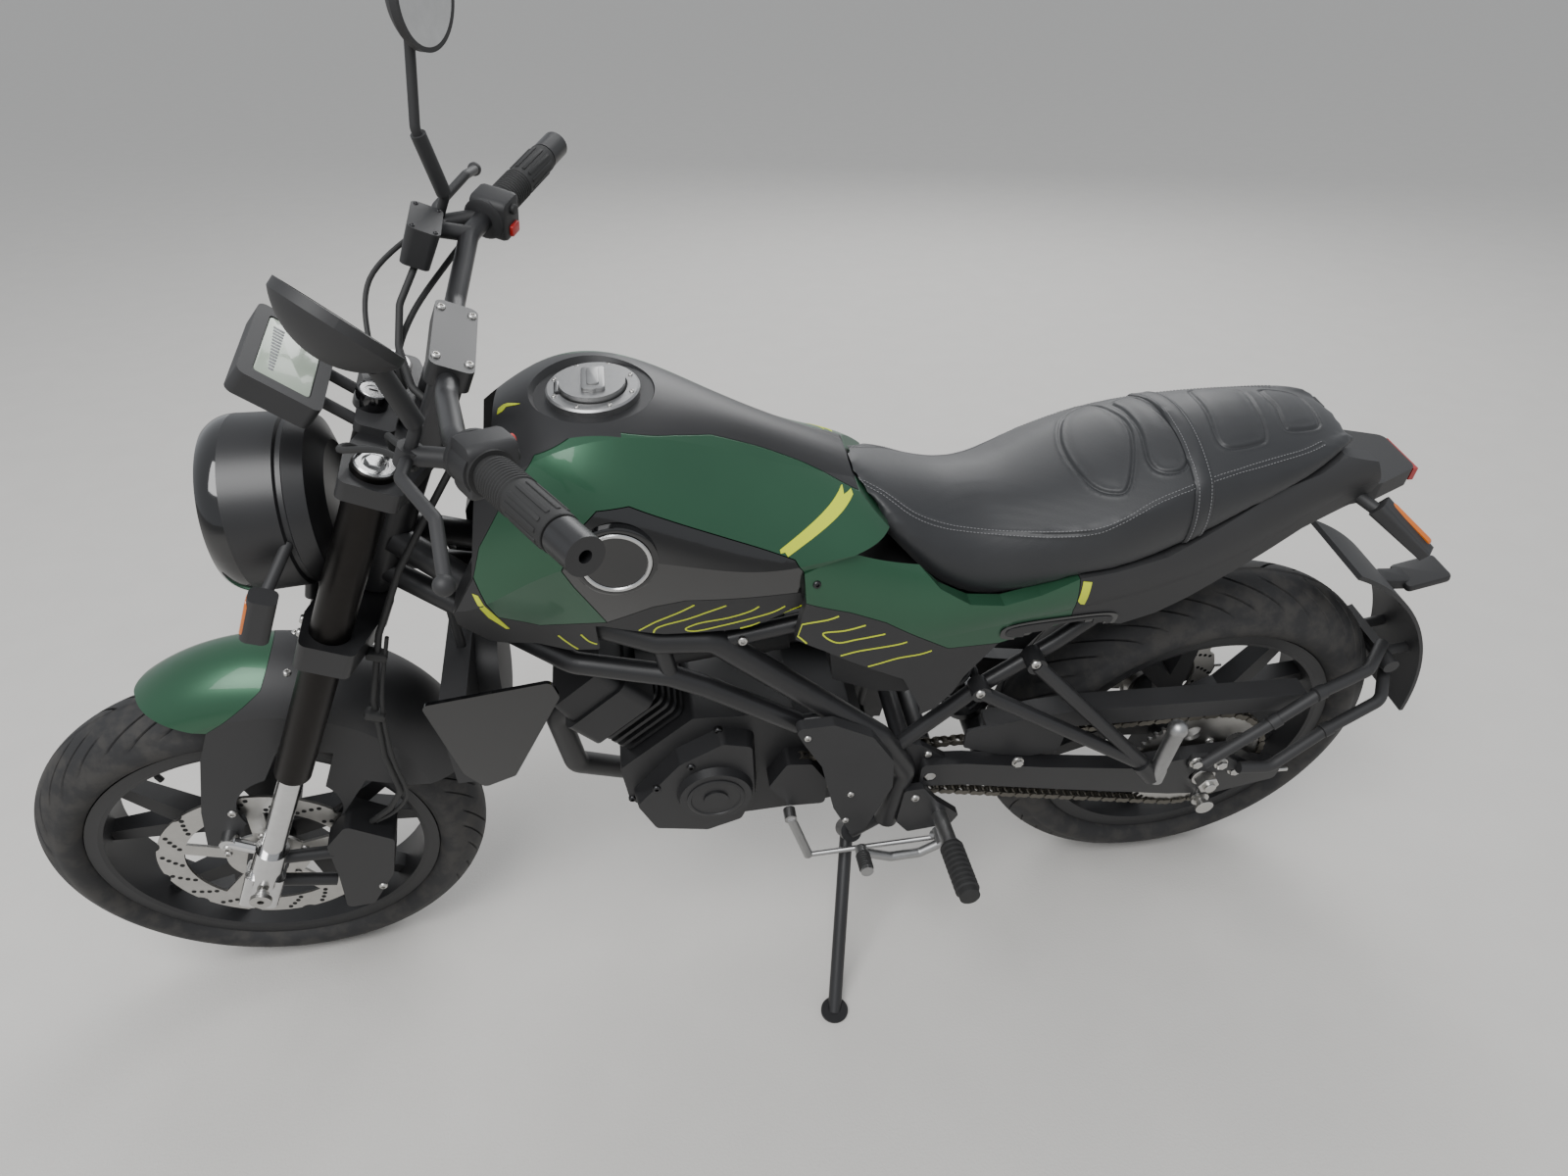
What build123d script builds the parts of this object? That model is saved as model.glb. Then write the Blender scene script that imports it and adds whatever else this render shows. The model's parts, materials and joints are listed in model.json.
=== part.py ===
from build123d import *
import os
from math import atan2, cos, degrees, radians, sin, sqrt

# A small naked standard motorcycle, leaning on its side stand with the bars turned a little left.
# Millimetres. X runs forward, Y to the rider's left and Z up from the floor.
# Each piece is drawn on the upright machine, whose zero is on the floor midway between the axles.
# Pieces that steer are drawn on the steering axis, wheels about their own axle, and each is then
# set on its tyres, at the lean at which the machine parks.

os.makedirs("parts", exist_ok=True)

# Driving dimensions
wheelbase = 1370
rake = 25
fork_offset = 35
lean_when_parked = 10.43
turn_when_parked = 2.22
middle_x = -33.5
middle_y = 183.9

front_tyre_radius = 293
rear_tyre_radius = 307
bead_radius = 218.5
flange_height = 9
fit = 0.3
running_gap = 5
axle_radius = 8.5

# Tyre sections: half widths from the centre plane, radii from the axle
front_bead_half = 38
front_tyre_half = 55
front_crown_half = 50
front_crown_drop = 31
rear_bead_half = 46
rear_tyre_half = 66
rear_crown_half = 59
rear_crown_drop = 40

# Fork
fork_leg_spacing = 194
fork_leg_ahead = 36
fork_tube_radius = 22.5
fork_slider_radius = 15.5
fork_top = 739
lower_clamp_height = 489
fork_tube_end = 251
fender_half = 70
fork_foot_top = 82
stem_radius = 15
headstock_radius = 27
headstock_bottom = 512
headstock_top = 704

# Frame
main_tube_radius = 17
lower_tube_radius = 14
rail_radius = 11

# Final drive
chain_pitch = 12.7
chain_line = 88
rear_teeth = 52
front_teeth = 14
sprocket_thickness = 6
chain_half_height = 6

# Swingarm
pivot_x = -250
pivot_z = 382
pivot_radius = 9


def side(y):
    """The plane across the machine at y: local x runs forward, local y up, and extrusions go right."""
    return Plane(origin=(0, y, 0), x_dir=(1, 0, 0), z_dir=(0, -1, 0))


def plate(outline, y, thickness, mode=Mode.ADD):
    """A flat piece by its side outline, from y towards the right."""
    with BuildSketch(side(y)) as face:
        with BuildLine():
            Polyline(*outline, close=True)
        make_face()
    extrude(face.sketch, amount=thickness, mode=mode)


def soft_plate(outline, y, thickness, corner, mode=Mode.ADD):
    """A flat piece whose outline has rounded corners."""
    with BuildSketch(side(y)) as face:
        with BuildLine():
            FilletPolyline(*outline, radius=corner, close=True)
        make_face()
    extrude(face.sketch, amount=thickness, mode=mode)


def rod(start, end, radius, mode=Mode.ADD):
    """A round bar between two points."""
    run = Vector(*end) - Vector(*start)
    with BuildSketch(Plane(origin=start, z_dir=run)) as end_face:
        Circle(radius)
    extrude(end_face.sketch, amount=run.length, mode=mode)


def tube(route, radius, bend):
    """A round tube along straight runs joined by bends."""
    with BuildLine() as path:
        FilletPolyline(*route, radius=bend)
    with BuildSketch(path.line ^ 0) as end_face:
        Circle(radius)
    sweep(end_face.sketch, path=path.line)


def block(low, high, mode=Mode.ADD):
    """A box by its low and high corners."""
    size = [b - a for a, b in zip(low, high)]
    centre = Vector(*[(a + b) / 2 for a, b in zip(low, high)])
    with Locations(centre):
        Box(*size, mode=mode)


def crown_radius(half, drop):
    """The radius of a tyre's crown arc from its half width and drop."""
    return (half ** 2 + drop ** 2) / (2 * drop)


# Places
front_centre = Vector(wheelbase / 2, 0, front_tyre_radius)
rear_centre = Vector(-wheelbase / 2, 0, rear_tyre_radius)
steer_up = Vector(-sin(radians(rake)), 0, cos(radians(rake)))
steer_ahead = Vector(cos(radians(rake)), 0, sin(radians(rake)))
steer_foot = front_centre - steer_ahead * fork_offset
steer_frame = Location(Plane(origin=steer_foot, x_dir=steer_ahead, z_dir=steer_up))
turned = Location((0, 0, 0), (0, 0, turn_when_parked))
front_hub = Location((fork_offset, 0, 0))
rear_hub = Location(rear_centre)


def settle():
    """The pitch and height that set both leaning tyres on the floor."""
    pitch = 0
    for _ in range(4):
        tilt = Location((0, 0, 0), (-lean_when_parked, pitch, 0))
        lows = []
        for hub, radius, half, drop in (
            (steer_frame * turned * front_hub, front_tyre_radius, front_crown_half, front_crown_drop),
            (rear_hub, rear_tyre_radius, rear_crown_half, rear_crown_drop),
        ):
            place = tilt * hub
            spin = (place * Location((0, 1, 0))).position - place.position
            crown = crown_radius(half, drop)
            lows.append(place.position.Z - (radius - crown) * sqrt(1 - spin.Z ** 2) - crown)
        pitch += degrees(atan2(lows[0] - lows[1], wheelbase))
    return pitch, -lows[1]


pitch_when_parked, height_when_parked = settle()
parked = Location(
    (-middle_x, -middle_y, height_when_parked), (-lean_when_parked, pitch_when_parked, 0)
)
steering_place = parked * steer_frame * turned
front_wheel_place = steering_place * front_hub
rear_wheel_place = parked * rear_hub
floor = Plane(parked.inverse() * Location((0, 0, 0)))


def steered(ahead, left, up):
    """A point of the steering, at rest straight ahead, in the upright machine's frame."""
    return steer_foot + steer_ahead * ahead + Vector(0, left, 0) + steer_up * up


def dome(half, low, high):
    """An arc from the rim of a round dome, at low, to its middle on the axis, at high."""
    rise = abs(high - low)
    radius = (half ** 2 + rise ** 2) / (2 * rise)
    way = (high - low) / rise
    between = half * 0.6
    ThreePointArc((half, low), (between, high - way * (radius - sqrt(radius ** 2 - between ** 2))),
                  (0, high))


def across(point):
    """The same point on the other side of the centre plane."""
    return Vector(point.X, -point.Y, point.Z)


def write(piece, place):
    """Set a labelled piece where it belongs and write it out."""
    export_step(piece.moved(place), f"parts/{piece.label}.step")


# Frame: headstock, trellis side tubes, pivot plates and seat rails
with BuildPart() as frame:
    rod(steered(0, 0, headstock_bottom), steered(0, 0, headstock_top), headstock_radius)
    tube([steered(-8, 14, 590), (300, 52, 742), (112, 97, 687), (46, 99, 681),
          (-92, 105, 550), (-172, 112, 476), (-213, 113, 400), (-196, 113, 285)],
         main_tube_radius, 24)
    tube([steered(-8, 12, 540), (216, 82, 647), (102, 101, 628), (60, 103, 604), (-60, 104, 514)],
         lower_tube_radius, 40)
    rod((110, 97, 684), (101, 101, 632), 11)
    rod((-60, 104, 514), (-120, 105, 523), 10)
    # Seat rails run under the side covers to the tail
    tube([(36, 98, 677), (-130, 92, 700), (-320, 88, 690), (-560, 74, 740), (-770, 38, 796)],
         rail_radius, 60)
    tube([(-196, 105, 440), (-310, 98, 545), (-400, 92, 606), (-580, 73, 742)], rail_radius, 60)
    # Pivot plate behind the side tube
    plate([(-205, 452), (-236, 440), (-278, 404), (-280, 368), (-248, 338), (-236, 262),
           (-198, 268), (-200, 340)], 108, 10)
    mirror(about=Plane.XZ)
    rod((60, -98, 681), (60, 98, 681), 12)
    rod((-196, -112, 286), (-196, 112, 286), 12)
    rod((-208, -104, 448), (-208, 104, 448), 13)
    rod((-200, -92, 696), (-200, 92, 696), 12)
    rod((-560, -74, 739), (-560, 74, 739), 10)
    rod((-762, -40, 793), (-762, 40, 793), 10)
    rod(steered(0, 0, headstock_bottom - 5), steered(0, 0, headstock_top + 5),
        stem_radius + fit, mode=Mode.SUBTRACT)
    rod((pivot_x, -130, pivot_z), (pivot_x, 130, pivot_z), pivot_radius, mode=Mode.SUBTRACT)
frame.part.label = "frame"
write(frame.part, parked)

# Engine: crankcase with its side covers, cylinder and head leaning forward
crank_x = 53
crank_z = 380
case_half = 74
with BuildPart() as engine_case:
    soft_plate([(180, 419), (173, 350), (135, 300), (60, 284), (-60, 288), (-140, 300), (-172, 335),
                (-176, 395), (-150, 448), (-60, 500), (30, 505), (76, 509)],
               case_half, 2 * case_half, 8)
    # Generator cover with its round cap
    with BuildSketch(side(case_half + 26)):
        with BuildLine():
            FilletPolyline((162, 366), (139, 308), (66, 290), (17, 308), (-3, 362), (0, 468),
                           (39, 480), (99, 446), radius=10, close=True)
        make_face()
    extrude(amount=26, taper=-12)
    with BuildSketch(side(case_half + 38)):
        with Locations((crank_x, crank_z)):
            Circle(50)
    extrude(amount=12, taper=-16)
    with BuildSketch(side(case_half + 42)):
        with Locations((crank_x, crank_z)):
            Circle(17)
    extrude(amount=4)
    # Output sprocket cover
    soft_plate([(-48, 426), (-83, 420), (-106, 377), (-104, 327), (-54, 330), (-22, 379)],
               case_half + 30, 30, 8)
    # Clutch cover and water pump on the right
    with BuildSketch(side(-case_half)):
        with BuildLine():
            FilletPolyline((150, 400), (120, 320), (20, 296), (-110, 300), (-150, 360), (-110, 450),
                           (-20, 490), (80, 470), radius=24, close=True)
        make_face()
    extrude(amount=30, taper=10)
    with BuildSketch(side(-case_half - 30)):
        with Locations((-30, 395)):
            Circle(66)
        with Locations((92, 370)):
            Circle(30)
    extrude(amount=14, taper=14)
engine_case.part.label = "engine_case"
write(engine_case.part, parked)

cylinder_lean = Vector(0.656, 0, 0.755)
cylinder_across = Vector(0.755, 0, -0.656)


def bore_plane(height):
    """The plane square to the cylinder at a height above the crank: local x runs forward and down."""
    return Plane(origin=Vector(crank_x, 0, crank_z) + cylinder_lean * height,
                 x_dir=cylinder_across, z_dir=cylinder_lean)


deck_height = 113
with BuildPart() as engine_cylinder:
    with BuildSketch(bore_plane(deck_height)):
        RectangleRounded(94, 96, 12)
    extrude(amount=174 - deck_height)
    with BuildSketch(bore_plane(173)):
        RectangleRounded(112, 150, 14)
    extrude(amount=51)
    with BuildSketch(bore_plane(223)):
        RectangleRounded(100, 138, 16)
    extrude(amount=35, taper=10)
    for rib in range(5):
        with BuildSketch(bore_plane(deck_height + 2 + rib * 12)):
            RectangleRounded(110, 112, 12)
        extrude(amount=5)
    add(engine_case.part, mode=Mode.SUBTRACT)
engine_cylinder.part.label = "engine_cylinder"
write(engine_cylinder.part, parked)

# Radiator, hung from the lower side tubes, with its side shrouds
radiator_back = 340
radiator_depth = 30
radiator_half = 122
with BuildPart() as radiator:
    block((radiator_back, -radiator_half, 508), (radiator_back + radiator_depth, radiator_half, 648))
    block((radiator_back - 6, -radiator_half - 18, 512), (radiator_back + 34, -radiator_half, 644))
    block((radiator_back - 6, radiator_half, 512), (radiator_back + 34, radiator_half + 18, 644))
    with BuildSketch(Plane(origin=(radiator_back - 28, 0, 578), z_dir=(1, 0, 0))):
        Circle(58)
    extrude(amount=28)
    for left in (-1, 1):
        rod((radiator_back + 12, left * 34, 640), (radiator_back + 12, left * 34, 726), 6)
    add(frame.part, mode=Mode.SUBTRACT)
radiator.part.label = "radiator"
write(radiator.part, parked)

shroud_thickness = 5
with BuildPart() as radiator_shrouds:
    with BuildSketch(side(152)):
        with BuildLine():
            FilletPolyline((384, 672), (236, 690), (229, 664), (300, 530), (340, 514), (360, 544),
                           radius=8, close=True)
        make_face()
    extrude(amount=shroud_thickness)
    block((radiator_back - 4, radiator_half + 18, 540), (radiator_back + 8, 147, 620))
    with BuildSketch(side(-147)):
        with BuildLine():
            FilletPolyline((384, 672), (236, 690), (229, 664), (300, 530), (340, 514), (360, 544),
                           radius=8, close=True)
        make_face()
    extrude(amount=shroud_thickness)
    block((radiator_back - 4, -147, 540), (radiator_back + 8, -radiator_half - 18, 620))
radiator_shrouds.part.label = "radiator_shrouds"
write(radiator_shrouds.part, parked)

# Exhaust: header under the engine and a short silencer low on the right
header_radius = 17
silencer_start = Vector(-322, -182, 262)
silencer_end = Vector(-610, -206, 345)
silencer_radius = 46
with BuildPart() as exhaust:
    tube([bore_plane(196).origin + cylinder_across * 58, (262, 0, 470), (250, -20, 330),
          (180, -60, 250), (-80, -70, 240), (-190, -110, 236), (-262, -164, 242), silencer_start],
         header_radius, 30)
    rod(silencer_start, silencer_end, silencer_radius)
    rod(silencer_end, silencer_end + (silencer_end - silencer_start) * 0.06, silencer_radius - 14)
    rod(silencer_end, silencer_end + (silencer_end - silencer_start) * 0.14, 20)
    add(engine_cylinder.part, mode=Mode.SUBTRACT)
exhaust.part.label = "exhaust"
write(exhaust.part, parked)

# Tank: one lofted form, cut by side outlines into the black core and the coloured panels
# Columns: x, bottom, half width there, side height, half width there, shoulder, half width, top
tank_sections = [
    (336, 700, 76, 780, 112, 880, 76, 896),
    (240, 682, 92, 830, 138, 944, 98, 970),
    (150, 682, 104, 860, 150, 970, 90, 986),
    (60, 682, 110, 838, 147, 945, 68, 962),
    (-60, 690, 106, 810, 128, 889, 48, 904),
    (-165, 700, 100, 796, 114, 836, 26, 846),
]
tank_inner = 84
panel_gap = 1
outer_reach = 200


def body_section(x, bottom, low_half, middle, side_half, shoulder, top_half, top):
    """One cross section of the bodywork, symmetric about the centre plane."""
    with BuildSketch(Plane(origin=(x, 0, 0), x_dir=(0, 1, 0), z_dir=(1, 0, 0))) as section:
        with BuildLine():
            bulge = (side_half + top_half) / 2 + 8
            raised = (middle + shoulder) / 2 + 6
            Line((-low_half, bottom), (low_half, bottom))
            Line((low_half, bottom), (side_half, middle))
            ThreePointArc((side_half, middle), (bulge, raised), (top_half, shoulder))
            ThreePointArc((top_half, shoulder), (0, top), (-top_half, shoulder))
            ThreePointArc((-top_half, shoulder), (-bulge, raised), (-side_half, middle))
            Line((-side_half, middle), (-low_half, bottom))
        make_face()
    return section.sketch


tank_outline = [(244, 1006), (272, 975), (300, 828), (331, 772), (334, 742), (306, 704), (250, 682),
                (184, 684), (111, 714), (0, 710), (-62, 736), (-57, 800), (-163, 820), (-128, 858),
                (-112, 940), (0, 1006)]
green_outline = [(216, 960), (252, 920), (286, 866), (298, 830), (284, 764), (241, 742), (166, 744),
                 (194, 818), (203, 849), (184, 893), (160, 914), (127, 914), (90, 894), (20, 855),
                 (-47, 819), (-59, 797), (-176, 816), (-152, 843), (-67, 890), (-20, 914), (34, 940),
                 (74, 954), (112, 966), (145, 975), (172, 975)]
insert_outline = [(166, 744), (194, 818), (203, 849), (184, 893), (160, 914), (127, 914), (90, 894),
                  (20, 855), (-47, 819), (-57, 801), (-56, 764), (76, 780), (113, 772)]
belly_outline = [(298, 830), (331, 772), (334, 742), (306, 704), (250, 682), (184, 684), (111, 714),
                 (0, 710), (-62, 736), (-56, 764), (76, 780), (113, 772), (166, 744), (241, 742),
                 (284, 764)]

with BuildPart() as tank_form:
    loft([body_section(*row) for row in tank_sections])
    with BuildSketch(side(outer_reach)):
        with BuildLine():
            Polyline(*tank_outline, close=True)
        make_face()
    extrude(amount=2 * outer_reach, mode=Mode.INTERSECT)


def skins(form, outline, inner):
    """The left and right skins of a form inside a side outline, outside of inner."""
    with BuildSketch(side(outer_reach)) as skin:
        with BuildLine():
            Polyline(*outline, close=True)
        make_face()
        offset(amount=-panel_gap / 2)
    extrude(skin.sketch, amount=outer_reach - inner)
    mirror(about=Plane.XZ)
    add(form, mode=Mode.INTERSECT)


# The green panels reach further in over the top than the covers below them
green_inner = 28
core_outline = [(400, 600), (400, 1100), (128, 1100), (128, 930), (72, 906), (-60, 842), (-180, 780),
                (-180, 600)]
with BuildPart() as tank_core:
    with BuildSketch(side(tank_inner)):
        with BuildLine():
            Polyline(*core_outline, close=True)
        make_face()
    extrude(amount=2 * tank_inner)

with BuildPart() as tank_panels:
    skins(tank_form.part, green_outline, green_inner)
    add(tank_core.part, mode=Mode.SUBTRACT)
tank_panels.part.label = "tank_panels"
write(tank_panels.part, parked)

with BuildPart() as tank_inserts:
    skins(tank_form.part, insert_outline, tank_inner)
tank_inserts.part.label = "tank_inserts"
write(tank_inserts.part, parked)

belly_inner = 116
core_bottom = 736
with BuildPart() as belly_covers:
    skins(tank_form.part, belly_outline, tank_inner)
    block((-100, -belly_inner, 600), (180, belly_inner, core_bottom), mode=Mode.SUBTRACT)
    block((170, -96, 600), (400, 96, 700), mode=Mode.SUBTRACT)
    add(frame.part, mode=Mode.SUBTRACT)
belly_covers.part.label = "belly_covers"
write(belly_covers.part, parked)

cap_x = 154
cap_seat = 971
neck_radius = 26
cap_ring_radius = 50
recess_radius = 64
tunnel_half = 74
tunnel_top = 800
with BuildPart() as panel_space:
    for outline, inner in ((green_outline, green_inner), (insert_outline, tank_inner),
                           (belly_outline, tank_inner)):
        for start in (outer_reach, -inner):
            with BuildSketch(side(start)):
                with BuildLine():
                    Polyline(*outline, close=True)
                make_face()
            extrude(amount=outer_reach - inner)
    add(tank_core.part, mode=Mode.SUBTRACT)

with BuildPart() as fuel_tank:
    add(tank_form.part)
    add(panel_space.part, mode=Mode.SUBTRACT)
    block((-200, -200, 600), (400, 200, core_bottom), mode=Mode.SUBTRACT)
    block((60, -tunnel_half, 600), (400, tunnel_half, tunnel_top), mode=Mode.SUBTRACT)
    block((262, -tunnel_half, 600), (400, tunnel_half, 1010), mode=Mode.SUBTRACT)
    with BuildSketch(Plane.XY.offset(cap_seat)):
        with Locations((cap_x, 0)):
            Circle(recess_radius)
    extrude(amount=60, taper=-34, mode=Mode.SUBTRACT)
    with BuildSketch(Plane.XY.offset(cap_seat - 90)):
        with Locations((cap_x, 0)):
            Circle(neck_radius)
    extrude(amount=100, mode=Mode.SUBTRACT)
    add(frame.part, mode=Mode.SUBTRACT)
fuel_tank.part.label = "fuel_tank"
write(fuel_tank.part, parked)

# Filler: a bolted ring and the lid that hinges at its front
ring_height = 9
lid_radius = 36
lid_height = 12
with BuildPart() as fuel_cap_ring:
    with BuildSketch(Plane.XY.offset(cap_seat)):
        with Locations((cap_x, 0)):
            Circle(cap_ring_radius)
            Circle(neck_radius, mode=Mode.SUBTRACT)
    extrude(amount=ring_height)
    with BuildSketch(Plane.XY.offset(cap_seat + 3)):
        with Locations((cap_x, 0)):
            Circle(lid_radius + 1)
        with Locations((cap_x + lid_radius - 2, 0)):
            Rectangle(14, 26)
    extrude(amount=ring_height, mode=Mode.SUBTRACT)
    top_edges = fuel_cap_ring.edges().filter_by(GeomType.CIRCLE).sort_by(SortBy.RADIUS)[-2:]
    chamfer(top_edges.sort_by(Axis.Z)[-1], 2)
fuel_cap_ring.part.label = "fuel_cap_ring"
write(fuel_cap_ring.part, parked)

lid_hinge_x = cap_x + lid_radius + 1
lid_hinge_z = cap_seat + ring_height
lid_pin_half = 10
with BuildPart() as fuel_cap_lid:
    with BuildSketch(Plane.XY.offset(cap_seat + 3 + fit)):
        with Locations((cap_x, 0)):
            Circle(lid_radius - 1)
    extrude(amount=lid_height)
    with BuildSketch(Plane.XY.offset(cap_seat + 3 + fit - 14)):
        with Locations((cap_x, 0)):
            Circle(neck_radius - 8)
    extrude(amount=14)
    with BuildSketch(Plane.XY.offset(cap_seat + lid_height - 1)):
        with Locations((cap_x, 0)):
            SlotOverall(48, 16, rotation=90)
    extrude(amount=8)
    rod((lid_hinge_x, -lid_pin_half, lid_hinge_z), (lid_hinge_x, lid_pin_half, lid_hinge_z), 2.5)
fuel_cap_lid.part.label = "fuel_cap_lid"
write(fuel_cap_lid.part, parked)

# Side covers, lower covers and tail, cut the same way from one lofted form
# Columns as for the tank
tail_sections = [
    (-50, 640, 118, 770, 130, 850, 108, 870),
    (-260, 540, 118, 680, 130, 770, 112, 790),
    (-420, 600, 112, 700, 124, 770, 114, 790),
    (-570, 640, 100, 730, 111, 805, 100, 815),
    (-710, 730, 74, 790, 84, 850, 74, 866),
    (-860, 760, 54, 786, 62, 842, 56, 848),
]
cover_inner = 110
with BuildPart() as tail_form:
    loft([body_section(*row) for row in tail_sections])


with BuildPart() as side_covers:
    skins(tail_form.part, [(-57, 800), (-60, 756), (-113, 736), (-157, 714), (-241, 654), (-308, 650),
                           (-396, 674), (-393, 748), (-347, 731), (-302, 721), (-260, 727),
                           (-222, 751), (-163, 820)], cover_inner)
    add(frame.part, mode=Mode.SUBTRACT)
side_covers.part.label = "side_covers"
write(side_covers.part, parked)

with BuildPart() as lower_side_covers:
    skins(tail_form.part, [(-60, 756), (-113, 736), (-157, 714), (-241, 654), (-308, 650),
                           (-272, 590), (-262, 560), (-223, 504), (-219, 536), (-189, 604),
                           (-84, 672), (-50, 690)], cover_inner + 2)
    add(frame.part, mode=Mode.SUBTRACT)
    add(tank_form.part, mode=Mode.SUBTRACT)
lower_side_covers.part.label = "lower_side_covers"
write(lower_side_covers.part, parked)

# The tail: two long skins, closed at the back by a flat rounded end plate
tail_inner = 50
tail_end = -862
with BuildPart() as tail_cover:
    skins(tail_form.part, [(-396, 674), (-471, 651), (-517, 661), (-559, 681), (-599, 705),
                           (-649, 731), (-697, 757), (-790, 779), (-790, 806), (-769, 846),
                           (-724, 856), (-692, 841), (-634, 826), (-564, 792), (-501, 764),
                           (-440, 752), (-393, 748)], tail_inner)
    with BuildSketch(Plane.XY.offset(776)):
        with BuildLine():
            FilletPolyline((-700, 76), (-800, 62), (tail_end, 36), (tail_end, -36), (-800, -62),
                           (-700, -76), radius=14, close=True)
        make_face()
    extrude(amount=26)
    add(frame.part, mode=Mode.SUBTRACT)
tail_cover.part.label = "tail_cover"
write(tail_cover.part, parked)

with BuildPart() as tail_lamp:
    block((tail_end - 7, -34, 780), (tail_end - fit, 34, 798))
tail_lamp.part.label = "tail_lamp"
write(tail_lamp.part, parked)

# Seat: one long cushion, lower at the rider's part, nearly flat between its two seams
seat_sections = [
    (-124, 838, 36, 848, 46, 857, 32, 863),
    (-161, 796, 64, 808, 74, 842, 48, 850),
    (-205, 752, 86, 770, 96, 816, 68, 828),
    (-285, 706, 95, 724, 107, 797, 80, 812),
    (-360, 718, 101, 736, 117, 806, 104, 824),
    (-440, 738, 106, 754, 121, 828, 114, 852),
    (-530, 766, 97, 782, 112, 855, 98, 880),
    (-620, 804, 82, 818, 98, 868, 80, 888),
    (-690, 834, 64, 846, 80, 873, 62, 884),
    (-742, 852, 40, 858, 50, 866, 38, 872),
]
with BuildPart() as seat:
    loft([body_section(*row) for row in seat_sections])
    add(tank_form.part, mode=Mode.SUBTRACT)
    add(side_covers.part, mode=Mode.SUBTRACT)
    add(tail_cover.part, mode=Mode.SUBTRACT)
    add(frame.part, mode=Mode.SUBTRACT)
# The tank's corners cut two crumbs off the nose of the cushion, which are dropped
cushion = seat.solids().sort_by(SortBy.VOLUME)[-1]
cushion.label = "seat"
write(cushion, parked)

# Airbox behind the left tubes
with BuildPart() as airbox:
    soft_plate([(-100, 648), (-195, 588), (-222, 528), (-168, 538), (-108, 570)], 84, 168, 8)
    # Throttle body and its rubber, into the head
    inlet = bore_plane(198).origin - cylinder_across * 54
    rod((-120, 0, 596), inlet, 22)
    rod((-60, 0, 589), (0, 0, 582), 28)
    add(frame.part, mode=Mode.SUBTRACT)
    add(engine_cylinder.part, mode=Mode.SUBTRACT)
airbox.part.label = "airbox"
write(airbox.part, parked)

# Black covers over the frame's pivot plates
with BuildPart() as pivot_covers:
    for y in (142, -126):
        soft_plate([(-50, 545), (-102, 546), (-155, 512), (-187, 456), (-190, 400), (-156, 302),
                    (-134, 304), (-108, 366), (-88, 463), (-64, 511)], y, 16, 8)
    for left in (-1, 1):
        rod((-128, left * 130, 512), (-128, left * 104, 512), 8)
        rod((-172, left * 130, 410), (-208, left * 108, 410), 8)
    add(frame.part, mode=Mode.SUBTRACT)
pivot_covers.part.label = "pivot_covers"
write(pivot_covers.part, parked)

# Swingarm: two box arms from a cross tube, slotted at the rear for the axle
arm_inner = 97
arm_thickness = 24
axle_x = -wheelbase / 2
axle_z = rear_tyre_radius
with BuildPart() as swingarm:
    soft_plate([(-236, 412), (-300, 404), (-420, 374), (-560, 345), (-640, 352), (-720, 352),
                (-765, 318), (-815, 300), (-812, 276), (-720, 256), (-640, 268), (-460, 314),
                (-300, 356), (-236, 364)],
               arm_inner + arm_thickness, arm_thickness, 9)
    mirror(about=Plane.XZ)
    with BuildSketch(side(97)):
        with Locations((pivot_x, pivot_z)):
            Circle(18)
    extrude(amount=194)
    rod((-345, -98, 374), (-345, 98, 374), 20)
    rod((pivot_x, -150, pivot_z), (pivot_x, 150, pivot_z), pivot_radius + fit, mode=Mode.SUBTRACT)
    with BuildSketch(side(150)):
        with Locations((axle_x, axle_z)):
            SlotOverall(44, 2 * axle_radius + 2 * fit)
    extrude(amount=300, mode=Mode.SUBTRACT)
    add(frame.part, mode=Mode.SUBTRACT)
swingarm.part.label = "swingarm"
write(swingarm.part, parked)

with BuildPart() as rear_axle:
    rod((axle_x, -129.5, axle_z), (axle_x, 129.5, axle_z), axle_radius)
    for y in (129.5, -121.5):
        with BuildSketch(side(y)):
            with Locations((axle_x, axle_z)):
                RegularPolygon(15, 6)
        extrude(amount=8)
rear_axle.part.label = "rear_axle"
write(rear_axle.part, parked)

# Rear shock between the frame's cross tube and the swingarm
shock_top = Vector(-201, 0, 694)
shock_foot = Vector(-345, 0, 380)
with BuildPart() as shock_absorber:
    rod(shock_top, shock_foot, 9)
    run = (shock_foot - shock_top).normalized()
    rod(shock_top + run * 20, shock_top + run * 130, 22)
    rod(shock_top + run * 60, shock_top + run * 70, 36)
    rod(shock_foot - run * 30, shock_foot - run * 20, 36)
    for turn in range(7):
        start = shock_top + run * (78 + turn * 30)
        rod(start, start + run * 11, 33)
    add(frame.part, mode=Mode.SUBTRACT)
    add(swingarm.part, mode=Mode.SUBTRACT)
    add(airbox.part, mode=Mode.SUBTRACT)
shock_absorber.part.label = "shock_absorber"
write(shock_absorber.part, parked)

# Chain: a closed band with link notches, from the output sprocket to the rear one
output_x = -74
output_z = 392
rear_pitch_radius = chain_pitch / (2 * sin(radians(180 / rear_teeth)))
front_pitch_radius = chain_pitch / (2 * sin(radians(180 / front_teeth)))
chain_width = 13


def loop_outline(front_radius, rear_radius):
    """A belt around both sprockets: its tangent points and the middles of its arcs."""
    span = Vector(axle_x - output_x, axle_z - output_z)
    heading = atan2(span.Y, span.X)
    lift = atan2(rear_radius - front_radius, span.length)
    points = []
    for sign in (1, -1):
        angle = heading - sign * (radians(90) + lift)
        ray = Vector(cos(angle), sin(angle))
        points.append((Vector(output_x, output_z) + ray * front_radius,
                       Vector(axle_x, axle_z) + ray * rear_radius))
    along = span.normalized()
    front_middle = Vector(output_x, output_z) - along * front_radius
    rear_middle = Vector(axle_x, axle_z) + along * rear_radius
    return points, front_middle, rear_middle


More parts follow.
